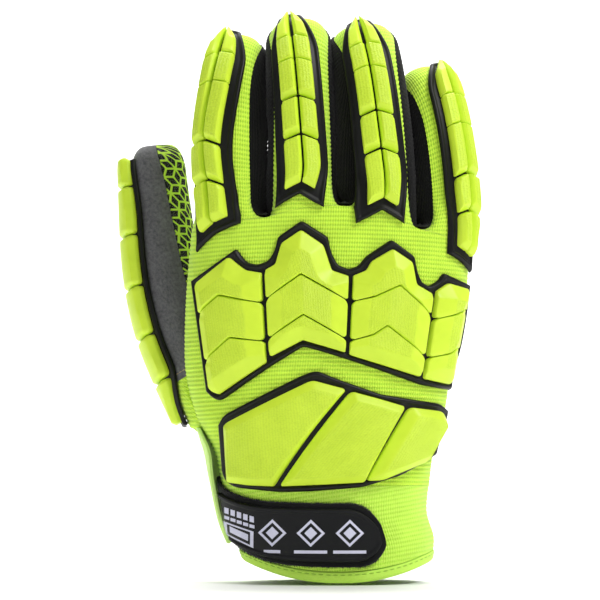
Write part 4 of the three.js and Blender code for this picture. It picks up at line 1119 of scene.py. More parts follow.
@dataclass
class HandPanel:
    """Back or palm of the glove: one sheet over the hand and one face of four fingers."""

    side: Side
    name: str
    step: float
    columns: int
    rib: float

    def hand_rows(self, shell: Shell) -> None:
        """Adds the hand's rows, from the cuff to the roots of the fingers."""
        column = np.linspace(0, 4, 4 * self.columns + 1)[None, :]
        foot = CUFF_HEIGHT + 0.1
        top = crotch(column)
        share = np.linspace(0, 1, int((top.max() - foot) / self.step))[:, None]
        height = foot + (top - foot) * share
        bare = column_point(self.side, column, height, 0)
        along = height + RIB_BOW * bare[..., 0] ** 2
        outer = column_point(self.side, column, height, rib_lift(along, self.rib))
        inner = column_point(self.side, column, height, -WALL)
        across = arc_lengths(bare, 1)
        pattern = np.stack([across - across[:, [2 * self.columns]], along, 0 * height], -1)
        keep = ~THUMB.inside(bare, -WALL - 1.5)
        shell.patch(outer, inner, pattern, keep)

    def finger_rows(self, shell: Shell, finger: Finger) -> None:
        """Adds one finger's rows.

        Args:
            shell: the sheet.
            finger: whose face it is.
        """
        digit = finger.digit
        across = np.linspace(0, 1, self.columns + 1)[None, :]
        reach = np.concatenate([[0], finger_reaches(digit, self.step)])[:, None]
        left, right = finger.seams(self.side, reach)
        inset = PANEL_GAP / 2 / np.radians(digit.half_width * np.abs(left - right)) * smooth(reach / 3)
        share = mix(inset, 1 - inset, across)
        root = column_point(self.side, finger.order + across, crotch(finger.order + across), 0)
        along = crotch(finger.order + across) + RIB_BOW * root[..., 0] ** 2 + reach
        fade = 1 - smooth((reach / digit.length - 0.72) / 0.2)
        lift = rib_lift(along, self.rib * fade)
        outer = finger.skin(self.side, share, reach, lift)
        inner = finger.skin(self.side, share, reach, -WALL)
        span = arc_lengths(outer, 1)
        pattern = np.stack([span - span[:, [self.columns // 2]] + 28 * finger.order, along, 0 * along], -1)
        shell.patch(outer, inner, pattern)

    def build(self) -> bpy.types.Object:
        """Builds the whole panel.

        Returns:
            The sheet as one piece.
        """
        shell = Shell(self.name)
        self.hand_rows(shell)
        for finger in FINGERS:
            self.finger_rows(shell, finger)
        return shell.build(60)

    def dress(self, material: bpy.types.Material, slot: str) -> bpy.types.Object:
        """Builds the panel and gives it its finish.

        Args:
            material: its finish.
            slot: passed on to place_piece, which does not use it.

        Returns:
            The finished piece.
        """
        part = "back" if self.side is Side.BACK else "palm"
        nodes = [f"{part}_shell", *(f"{finger.name}_{part}" for finger in FINGERS)]
        piece = place_piece(self.build(), material, slot, *nodes)
        as_sheet(piece, (190, 290) if self.side is Side.BACK else (170, 270))
        return piece


@dataclass
class SideStrip:
    """Black knit strip between two fingers: down one, round the crotch and up the other."""

    finger: Finger
    next: Finger
    step: float = 0.5
    columns: int = 14
    margin: float = 0.12
    # How far the strip bulges between the seams, by millimetres above the crotch
    FILL = {
        "index": Table("out", [(0, 0), (10, 1.2), (18, 0.9), (24, 0.1), (38, 0.1), (48, 1.2), (95, 1.2)]),
        "middle": Table("out", [(0, 0), (8, 1.9), (30, 1.9), (60, 1.3), (95, 1.2)]),
        "ring": Table("out", [(0, 0), (8, 1.9), (30, 1.6), (60, 1.2), (95, 1.2)]),
    }

    def shares(self) -> tuple[Array, Array]:
        """Shares across the strip with a margin tucked under each seam, and how far each is tucked."""
        inner = np.linspace(0, 1, self.columns + 1)
        share = np.concatenate([[-self.margin, -0.02], inner, [1.02, 1 + self.margin]])[None, :]
        return share, np.where((share < 0) | (share > 1), 1.0, 0.0)

    def side_rows(self, finger: Finger, right: bool, lift: Array | float) -> Array:
        """One finger's side.

        Args:
            finger: the finger.
            right: whether it is the finger's right side.
            lift: off the glove's skin.

        Returns:
            Rows of points from the crotch upwards.
        """
        column = self.next.order
        reach = self.reaches(finger)[:, None]
        share, tucked = self.shares()
        lift = lift - (WALL + 0.25) * tucked
        seams = [finger.seams(face, reach)[1 if right else 0] for face in (Side.BACK, Side.PALM)]
        turn = -360 if right else 0
        inset = 0.25 / math.radians(finger.digit.half_width) * (-1 if right else 1)
        around = mix(seams[0] + inset, seams[1] + turn - inset, share)
        full = self.FILL[self.finger.name].read("out", reach) * np.sin(np.pi * np.clip(share, 0, 1))
        tube = finger.digit.point(finger.reach_from(column, reach), around, lift + full)
        level = crotch(column) + 2
        back = column_point(Side.BACK, np.array(column), level, 0.0)
        palm = column_point(Side.PALM, np.array(column), level, 0.0)
        bend = np.pi * np.clip(share, 0, 1)
        drop = -4.0 * np.maximum(np.abs(share - 0.5) - 0.5, 0) / self.margin
        web = (back + (palm - back) * np.clip(share, 0, 1)[..., None]
               + np.stack([0 * bend, -lift * np.cos(bend), (CROTCH_RISE + lift) * np.sin(bend) + drop], -1))
        return mix(web, tube, round_in(reach / CROTCH_ROUND)[..., None])

    def reaches(self, finger: Finger) -> Array:
        """Places along the finger, closer together in the bend of the crotch."""
        bend = CROTCH_ROUND * (1 - np.cos(np.linspace(0, math.pi / 2, 16)))
        body = np.arange(CROTCH_ROUND, 0.97 * finger.digit.length, self.step)[1:]
        return np.concatenate([bend, body])

    def build(self) -> bpy.types.Object:
        """Builds the strip.

        Returns:
            The sheet as one piece.
        """
        faces = []
        for lift in (-0.15, -WALL):
            left = self.side_rows(self.finger, True, lift)[::-1]
            right = self.side_rows(self.next, False, lift)
            faces.append(np.concatenate([left, right[1:]]))
        outer, inner = faces
        along = arc_lengths(outer, 0)
        across = arc_lengths(outer, 1)
        # Ribs run across the strip
        normal = outer - inner
        normal /= np.linalg.norm(normal, axis=-1, keepdims=True)
        outer = outer + normal * rib_lift(along, 0.12)[..., None]
        pattern = np.stack([across, along, 0 * along], -1)
        return Shell(f"fourchette_{self.finger.name}_{self.next.name}").patch(outer, inner, pattern).build(60)

    def dress(self, material: bpy.types.Material) -> bpy.types.Object:
        """Builds the strip and gives it its finish, returning the piece."""
        piece = place_piece(self.build(), material, "side_knit",
            f"fourchette_{self.finger.name}_{self.next.name}")
        as_sheet(piece, (34, 200))
        return piece


@dataclass
class ThumbPanel:
    """Cloth of the thumb between two seams, from the hand to the tip."""

    name: str
    seams: Callable[[Array], tuple[Array, Array]]
    split: float = 42.0
    columns: int = 60
    rows: int = 150

    def build(self, foot: bool) -> bpy.types.Object:
        """Builds the panel, or the knit at its foot where the thumb leaves the hand.

        Args:
            foot: whether to build the knit below the panel.

        Returns:
            The sheet as one piece.
        """
        share = np.linspace(0, 1, self.columns + 1)[None, :]
        trial = np.linspace(0.97, 0.08, 400)[:, None] * THUMB.length
        left, right = self.seams(trial / THUMB.length)
        hidden = inside_hand(THUMB.point(trial, mix(left, right, share), 0), -0.4)
        first = np.where(hidden.any(axis=0), hidden.argmax(axis=0), len(trial) - 1)
        start = trial[first, 0][None, :]
        body = THUMB.length - THUMB.tip
        if foot:
            start = np.minimum(start, self.split - 0.5)
            step = np.linspace(0, 1, 90)[:, None]
            reach = mix(start, self.split, step)
        else:
            step = np.linspace(0, 1, self.rows)[:, None]
            tip = body + THUMB.tip * np.sin(np.linspace(0, math.pi / 2 * 0.995, 22))[1:, None]
            reach = np.concatenate([mix(np.maximum(start, self.split), body, step),
                                    np.broadcast_to(tip, (len(tip), self.columns + 1))])
        left, right = self.seams(reach / THUMB.length)
        inset = PANEL_GAP / 2 / math.radians(THUMB.half_width)
        around = mix(left + inset, right - inset, share)
        # The knit sinks under the hand's edge at its foot
        sunk = -8 * (1 - smooth((reach - 10) / 14)) - (0.3 if foot else 0)
        bare = THUMB.point(reach, around, sunk)
        outer = THUMB.point(reach, around, sunk + (rib_lift(bare[..., 2], 0.2) if foot else 0))
        inner = THUMB.point(reach, around, sunk - WALL)
        pattern = np.stack([arc_lengths(outer, 1), bare[..., 2] if foot else reach, 0 * reach], -1)
        name = f"{self.name}_foot" if foot else self.name
        return Shell(name).patch(outer, inner, pattern).build(60)

    def stitches(self) -> bpy.types.Object:
        """Builds the row of stitches across the foot of the panel."""
        share = np.linspace(0.02, 0.98, 200)
        reach = np.full(200, self.split + 3.0)
        left, right = self.seams(reach / THUMB.length)
        line = THUMB.point(reach, mix(left, right, share), 0.05)
        out = THUMB.point(reach, mix(left, right, share), 1.05) - line
        return sewn(f"{self.name}_stitches", line, out, 1.6, 0.5, 0.22)

    def dress(self, material: bpy.types.Material, slot: str, finishes: "Finishes") -> None:
        """Builds the panel, the knit at its foot and the seam between them.

        Args:
            material: the panel's finish.
            slot: passed on to place_piece, which does not use it.
            finishes: the finishes of knit and thread.
        """
        piece = place_piece(self.build(False), material, slot, self.name)
        foot = place_piece(self.build(True), finishes.knit, "rib_knit", self.name)
        stitches = place_piece(self.stitches(), finishes.tan_thread, slot)
        as_sheet(piece, (60, 120))
        as_sheet(foot, (60, 40))


@dataclass(frozen=True)
class Edge:
    """One side of a raised block: height of its edge and width of its bevel, in millimetres."""

    height: float = 3.4
    bevel: float = 0.6


def distance_to(points: Array, line: Array) -> Array:
    """Distance of points from a polyline.

    Args:
        points: points in a grid.
        line: corners of the polyline.

    Returns:
        Millimetres from each point to the nearest place on the line.
    """
    start, step = line[:-1], np.diff(line, axis=0)
    length = np.maximum((step ** 2).sum(-1), 1e-9)
    gap = points[..., None, :] - start
    t = np.clip((gap * step).sum(-1) / length, 0, 1)
    return np.sqrt(((gap - t[..., None] * step) ** 2).sum(-1)).min(-1)


@dataclass
class Block:
    """Raised rubber block over a patch of the glove, with a bevel of its own on each side."""

    place: Place
    full: float = BLOCK_HEIGHT
    low: Edge = Edge()
    high: Edge = Edge()
    left: Edge = Edge()
    right: Edge = Edge()
    corners: tuple[float, float, float, float] = (0.8, 0.8, 0.8, 0.8)
    step: float = 0.6
    rim: float = 0.4
    stipple: bool = True

    def stations(self, length: float) -> Array:
        """Shares along a side of some length, closer together near its ends."""
        near = np.array([0, 0.1, 0.25, 0.45, 0.75]) / length
        count = max(2, int((length - 2) / self.step))
        middle = np.linspace(1.1 / length, 1 - 1.1 / length, count)
        return np.concatenate([near, middle, 1 - near[::-1]])

    def bent(self, s: Array, t: Array, width: float, length: float) -> tuple[Array, Array]:
        """Draws a square grid in at its corners so that they are round.

        Args:
            s: shares across.
            t: shares up.
            width: width in millimetres.
            length: length in millimetres.

        Returns:
            The shares with round corners.
        """
        low_left, low_right, high_left, high_right = self.corners
        from_top = (1 - t) * length
        pull = np.zeros_like(s)
        rise = np.zeros_like(t)
        for radius, from_side, from_end, sign_s, sign_t in (
                (low_left, s * width, t * length, 1, 1), (low_right, (1 - s) * width, t * length, -1, 1),
                (high_left, s * width, from_top, 1, -1), (high_right, (1 - s) * width, from_top, -1, -1)):
            if radius <= 0:
                continue
            a = np.clip(1 - from_side / radius, 0, 1)
            b = np.clip(1 - from_end / radius, 0, 1)
            away = np.sqrt(a * a + b * b)
            most = np.maximum(a, b)
            scale = np.where(away > 0, most / np.maximum(away, 1e-6), 1)
            pull += sign_s * radius / width * a * (1 - scale)
            rise += sign_t * radius / length * b * (1 - scale)
        return s + pull, t + rise

    def grid(self) -> tuple[Array, Array, Array]:
        """Works out the block's corners.

        Returns:
            Outer points, inner points and pattern.
        """
        probe = np.linspace(0, 1, 9)
        width = arc_lengths(self.place(probe[None, :], np.array([[0.5]]), BLOCK_FOOT), 1)[0, -1]
        length = arc_lengths(self.place(np.array([[0.5]]), probe[:, None], BLOCK_FOOT), 0)[-1, 0]
        s, t = np.meshgrid(self.stations(width), self.stations(length))
        s, t = self.bent(s, t, width, length)
        ground = self.place(s, t, BLOCK_FOOT)
        sides = ((self.low, ground[0]), (self.high, ground[-1]), (self.left, ground[:, 0]),
                 (self.right, ground[:, -1]))
        soft = 0.07
        total = np.exp(-np.full(s.shape, self.full) / soft)
        nearest = np.full(s.shape, 1e9)
        for edge, line in sides:
            gap = distance_to(ground, line)
            nearest = np.minimum(nearest, gap)
            ramp = edge.height + (self.full + 3 * soft - edge.height) * gap / edge.bevel
            total += np.exp(-ramp / soft)
        height = -soft * np.log(total)
        fall = np.maximum(self.rim - nearest, 0)
        height -= self.rim - np.sqrt(np.maximum(self.rim ** 2 - fall ** 2, 0))
        flat = smooth((height - self.full + 0.3) / 0.2) * self.stipple
        outer = self.place(s, t, BLOCK_FOOT + np.maximum(height, 0.3))
        across, along = arc_lengths(ground, 1), arc_lengths(ground, 0)
        return outer, ground, np.stack([across, along, flat], -1)

    def build(self, name: str) -> bpy.types.Object:
        """Makes the block's mesh under a name."""
        outer, inner, pattern = self.grid()
        return Shell(name).patch(outer, inner, pattern).build(38)


@dataclass
class Base:
    """Thin black rubber base of a guard, with a rounded bead along its edge."""

    name: str
    place: Place
    columns: int
    rows: int
    bead: float = 2.4
    rise: float = 0.7

    def build(self) -> bpy.types.Object:
        """Builds the base.

        Returns:
            The base as one piece.
        """
        # Lines lie closer together near the edges, where the bead is
        s, t = (np.sin((np.linspace(0, 1, count) - 0.5) * math.pi * 0.9) / math.sin(math.pi * 0.45) / 2 + 0.5
                for count in (self.columns, self.rows))
        s, t = np.meshgrid(s, t)
        ground = self.place(s, t, BASE_GAP)
        lines = (ground[0], ground[-1], ground[:, 0], ground[:, -1])
        nearest = np.min([distance_to(ground, line) for line in lines], axis=0)
        # A quarter circle at the rim, then a low bead that sinks to the floor of the guard
        round_edge = BASE_WALL * round_in((nearest + 0.15) / 0.9)
        bead = self.rise * np.sin(np.pi * np.clip(nearest / self.bead, 0, 1)) ** 1.2
        outer = self.place(s, t, BASE_GAP + round_edge + bead)
        across, along = arc_lengths(ground, 1), arc_lengths(ground, 0)
        return Shell(self.name).patch(outer, ground, np.stack([across, along, 0 * along], -1)).build(50)


@dataclass
class FingerGuard:
    """Rubber guard along the back of a finger: a base and two columns of blocks."""

    finger: Finger
    groove: float = 0.7
    gap: float = 0.5

    # Blocks of a guard by node: rows from the foot
    BLOCKS = {"block_1": (0, 1), "block_2": (1, 2), "block_tip": (2, 5)}

    def cell(self, row: int, right: bool) -> Block:
        """One raised cell of a row.

        Args:
            row: row from the foot.
            right: whether it lies right of the groove.

        Returns:
            The block.
        """
        finger, rows = self.finger, self.finger.rows
        length = finger.digit.length
        last = len(rows) - 2
        crease = row > 2
        low = rows[row] + (0.12 if crease else self.gap) / length
        high = rows[row + 1] - (0.12 if 2 <= row < last else self.gap) / length
        half = FINGER_BLOCK_WIDTH / 2
        groove = self.groove + (0.9 if row == last else 0)
        start, end = (groove / 2, half) if right else (-half, -groove / 2)
        slant = 5.5 / length if row == last else 0

        def place(s: Array, t: Array, lift: Array) -> Array:
            """Point at shares across and up the cell."""
            outer = s if right else 1 - s
            return finger.guard_point(mix(start, end, s), mix(low, high - slant * outer, t), lift)

        outside, inside = Edge(2.2, 1.3), Edge(2.4, 1.2)
        foot = Edge(1.5, 3.4) if row < 2 else Edge(2.0, 3.0) if row == 2 else Edge(3.6, 0.8)
        top = Edge(3.6, 0.8) if 2 <= row < last else Edge(3.1, 0.6)
        if row == last:
            top = Edge(2.4, 2.6)
        near = 0.5
        far = 3.0 if row == last else 1.8 if row < 2 else 0.5
        inner = 1.2 if row == last else near
        corners = (near, near, inner, far) if right else (near, near, far, inner)
        return Block(place, BLOCK_HEIGHT, foot, top, inside if right else outside,
            outside if right else inside,
                     corners, stipple=row <= 3)

    def build(self, base: bpy.types.Material, block: bpy.types.Material) -> None:
        """Builds and dresses the base and the blocks.

        Args:
            base: finish of the base.
            block: finish of the blocks.
        """
        finger, rows = self.finger, self.finger.rows
        half = FINGER_BASE_WIDTH / 2
        border = (FINGER_BASE_WIDTH - FINGER_BLOCK_WIDTH) / 2 / finger.digit.length
        foot, top = rows[0] - border, rows[-1]

        def place(s: Array, t: Array, lift: Array) -> Array:
            """Point at shares across and up the base."""
            return finger.guard_point(mix(-half, half, s), mix(foot, top, t), lift)

        name = f"{finger.name}_guard_base"
        place_piece(Base(name, place, 44, 120).build(), base, "guard_base", name)
        for part, (first, last) in self.BLOCKS.items():
            cells = [self.cell(row, right).build("cell")
                     for row in range(first, last) for right in (False, True)]
            name = f"{finger.name}_guard_{part}"
            place_piece(joined(name, cells), block, "guard_block", name)


@dataclass
class KnuckleGuard:
    """Scalloped guard over the knuckles: four columns of three chevron blocks."""

    divider: float = 2.1
    gap: float = 0.5

    def block(self, column: int, row: int) -> Block:
        """One chevron block.

        Args:
            column: column from the thumb's side.
            row: row from the top.

        Returns:
            The block.
        """
        start, end, edges = KNUCKLE_COLUMNS[column]
        scale = (KNUCKLE_WIDTH, KNUCKLE_HEIGHT)
        half = self.divider / 2 / KNUCKLE_WIDTH
        top = softened(edges[row], scale, 1.0 if row == 0 else 0.4)
        low = softened(edges[row + 1], scale, 0.4)
        gap = self.gap / 2 / KNUCKLE_HEIGHT

        def place(s: Array, t: Array, lift: Array) -> Array:
            """Point at shares across and up the block."""
            across = mix(start + half, end - half, s)
            rise = mix(along_line(low, across) + gap, along_line(top, across) - gap, t)
            return KNUCKLE_PLACE(across, rise, lift)

        inner, outer = Edge(2.6, 8.6), Edge(2.2, 5.0)
        left = outer if column == 0 else inner
        right = outer if column == 3 else inner
        if row == 0:
            return Block(place, BLOCK_HEIGHT + 0.6, Edge(4.2, 0.8), Edge(1.3, 7.6), left, right,
                         (2.4, 2.4, 0.6, 0.6))
        if row == 1:
            return Block(place, BLOCK_HEIGHT, Edge(3.8, 0.8), Edge(3.6, 0.5), left, right,
                (2.4, 2.4, 2.2, 2.2))
        return Block(place, BLOCK_HEIGHT, Edge(1.3, 7.0), Edge(3.6, 0.5), left, right, (1.6, 0.8, 2.2, 2.2))

    def build(self, base: bpy.types.Material, block: bpy.types.Material) -> None:
        """Builds and dresses the base and the twelve blocks.

        Args:
            base: finish of the base.
            block: finish of the blocks.
        """
        scale = (KNUCKLE_WIDTH, KNUCKLE_HEIGHT)
        top, low = softened(KNUCKLE_TOP, scale, 1.3), softened(KNUCKLE_BOTTOM, scale, 2.0)

        def place(s: Array, t: Array, lift: Array) -> Array:
            """Point at shares across and up the base."""
            return KNUCKLE_PLACE(s, mix(along_line(low, s), along_line(top, s), t), lift)

        name = "knuckle_guard_base"
        place_piece(Base(name, place, 190, 70).build(), base, "guard_base", name)
        for column in range(4):
            for row in range(3):
                name = f"knuckle_block_{column + 1}_{row + 1}"
                place_piece(self.block(column, row).build(name), block, "guard_block", name)


@dataclass
class HandGuard:
    """Guard over the back of the hand: a base and three slanted blocks."""

    def block(self, order: int) -> Block:
        """One slanted block, counted from the thumb's side."""
        top, foot = HAND_BLOCKS[order]
        scale = (HAND_GUARD_WIDTH, HAND_GUARD_HEIGHT)
        top, foot = softened(top, scale, 2.0), softened(foot, scale, 2.0)

        def place(s: Array, t: Array, lift: Array) -> Array:
            """Point at shares across and up the block."""
            spread = [np.interp(s, self.run(line), np.array(line)[:, k])
                      for line in (top, foot) for k in (0, 1)]
            across = mix(spread[2], spread[0], t)
            rise = mix(spread[3], spread[1], t)
            return HAND_GUARD_PLACE(across, rise, lift)

        soft = Edge(2.0, 4.0)
        left = soft if order == 0 else Edge(1.6, 4.4)
        return Block(place, BLOCK_HEIGHT + 0.4, Edge(2.0, 3.6), Edge(2.0, 4.2), left, Edge(2.8, 1.6),
                     (1.6, 0.8, 2.2, 1.2), step=0.7)

    def run(self, line: Sequence[tuple[float, float]]) -> Array:
        """Share of a polyline's own length at each of its corners."""
        steps = np.linalg.norm(np.diff(np.array(line), axis=0), axis=1)
        total = np.concatenate([[0], np.cumsum(steps)])
        return total / total[-1]

    def build(self, base: bpy.types.Material, block: bpy.types.Material) -> None:
        """Builds and dresses the base and the three blocks.

        Args:
            base: finish of the base.
            block: finish of the blocks.
        """
        scale = (HAND_GUARD_WIDTH, HAND_GUARD_HEIGHT)
        top, low = softened(HAND_GUARD_TOP, scale, 2.2), softened(HAND_GUARD_BOTTOM, scale, 2.5)

        def place(s: Array, t: Array, lift: Array) -> Array:
            """Point at shares across and up the base."""
            return HAND_GUARD_PLACE(s, mix(along_line(low, s), along_line(top, s), t), lift)

        name = "hand_guard_base"
        place_piece(Base(name, place, 130, 70, bead=2.8).build(), base, "guard_base", name)
        for order in range(3):
            name = f"hand_block_{order + 1}"
            place_piece(self.block(order).build(name), block, "guard_block", name)


@dataclass
class ThumbGuard:
    """Guard along the outside of the thumb: a base and six blocks."""

    def build(self, base: bpy.types.Material, block: bpy.types.Material) -> None:
        """Builds and dresses the base and the blocks.

        Args:
            base: finish of the base.
            block: finish of the blocks.
        """
        half, edge = THUMB_BASE_WIDTH / 2, THUMB_BLOCK_WIDTH / 2
        foot, top = THUMB_ROWS[0] - 2.2 / THUMB.length, THUMB_ROWS[-1]

        def under(s: Array, t: Array, lift: Array) -> Array:
            """Point at shares across and up the base."""
            return thumb_guard_point(mix(-half, half, s), mix(foot, top, t), lift)

        name = "thumb_guard_base"
        place_piece(Base(name, under, 44, 150).build(), base, "guard_base", name)
        for order, (low, high) in enumerate(zip(THUMB_ROWS, THUMB_ROWS[1:])):
            gap = 0.35 / THUMB.length

            def place(s: Array, t: Array, lift: Array, low: float = low + gap,
                    high: float = high - gap) -> Array:
                """Point at shares across and up one block."""
                return thumb_guard_point(mix(-edge, edge, s), mix(low, high, t), lift)

            name = f"thumb_block_{order + 1}"
            piece = Block(place, BLOCK_HEIGHT, Edge(2.6, 1.8), Edge(3.0, 1.2), Edge(2.2, 2.2), Edge(2.2, 2.2),
                          (1.8, 1.8, 1.8, 1.8), step=0.75, stipple=False).build(name)
            place_piece(piece, block, "guard_block", name)


@dataclass
class Cuff:
    """Ribbed cuff, its bound hem with a row of stitches, and the pale fold beside the strap."""

    columns: int = 150

    def foot(self, turn: Array) -> Array:
        """Height of the hem's lower edge round the wrist."""
        return HEM_RISE * np.cos(np.radians(turn)) ** 2

    def knit(self) -> bpy.types.Object:
        """Builds the ribbed part.

        Returns:
            The sheet as one piece.
        """
        turn = np.linspace(0, 360, self.columns, endpoint=False)[None, :]
        low = self.foot(turn) + HEM_HEIGHT + PANEL_GAP
        height = mix(low, CUFF_HEIGHT, np.linspace(0, 1, 96)[:, None])
        bare = hand_point(turn, height, 0)
        # The ribs climb to the right
        along = height - 0.16 * bare[..., 0]
        outer = hand_point(turn, height, rib_lift(along, 0.13))
        pattern = np.stack([arc_lengths(bare, 1), along, 0 * along], -1)
        return Shell("cuff").patch(outer, hand_point(turn, height, -WALL), pattern, closed=True).build(60)

    def hem(self) -> bpy.types.Object:
        """Builds the binding, rounded at its lower edge.

        Returns:
            The binding as one piece.
        """
        turn = np.linspace(0, 360, self.columns, endpoint=False)[None, :]
        spare = (HEM_WALL - WALL) / 2
        steps_up = np.concatenate([1 - np.cos(np.linspace(0, math.pi / 2, 8)), np.linspace(1, 3.2, 12)[1:]])
        share = steps_up[:, None] / 3.2
        # Half a turn at the bottom, and a shallow valley where the stitches pull
        sewn_in = 0.22 * np.exp(-((share - 0.76) / 0.07) ** 2)
        fat = mix(-HEM_WALL * 0.4, spare, round_in(share * 2.6)) - sewn_in
        fat = fat - 0.3 * smooth((share - 0.9) / 0.1)
        height = self.foot(turn) + share * HEM_HEIGHT
        outer = hand_point(turn, height, fat)
        inner = hand_point(turn, height, np.broadcast_to(-WALL - spare, height.shape))
        pattern = np.stack([arc_lengths(outer, 1), height, 0 * height], -1)
        return Shell("cuff_hem").patch(outer, inner, pattern, closed=True).build(60)

    def stitches(self) -> bpy.types.Object:
        """Builds the row of stitches along the binding.

        Returns:
            All stitches as one piece.
        """
        steps = np.linspace(0, 360, 721)
        height = self.foot(steps) + 0.76 * HEM_HEIGHT
        line = hand_point(steps, height, 0.42)
        return sewn("hem_stitches", line, hand_point(steps, height, 1.42) - line, 2.3, 1.0, 0.3)

    def flap(self) -> bpy.types.Object:
        """Builds the pale fold beside the strap.

        Returns:
            The sheet as one piece.
        """
        share = np.linspace(0, 1, 90)[:, None]
        t = np.linspace(0, 1, 40)[None, :]
        turn = mix(FLAP.read("start", share), FLAP.read("end", share), t)
        edge = np.minimum(t, 1 - t)
        roll = 0.5 * (1 - round_in(edge / 0.1))
        lift = FLAP.read("lift", share) * 4.2 - roll
        # Two soft folds run down the cloth
        wave = 0.35 * np.sin(2 * np.pi * (1.3 * t + 0.8 * share))
        wave = wave * smooth(share / 0.2) * smooth((1 - share) / 0.2)
        height = FLAP_FOOT + share * FLAP_HEIGHT + 0 * t
        outer = hand_point(turn, height, lift + wave + 1.5)
        inner = hand_point(turn, height, lift + wave + 0.3)
        pattern = np.stack([arc_lengths(outer, 1), height, 0 * height], -1)
        return Shell("side_flap").patch(outer, inner, pattern).build(60)

    def build(self, finishes: Finishes) -> None:
        """Builds and dresses the cuff.

        Args:
            finishes: the materials.
        """
        cuff = place_piece(self.knit(), finishes.cuff, "cuff_knit", "cuff")
        hem = place_piece(self.hem(), finishes.binding, "cuff_knit", "cuff_hem")
        stitches = place_piece(self.stitches(), finishes.thread, "cuff_knit")
        flap = place_piece(self.flap(), finishes.flap, "flap_cloth", "side_flap")
        as_sheet(cuff, (250, 36))
        as_sheet(hem, (250, 10))
        as_sheet(flap, (34, 54))


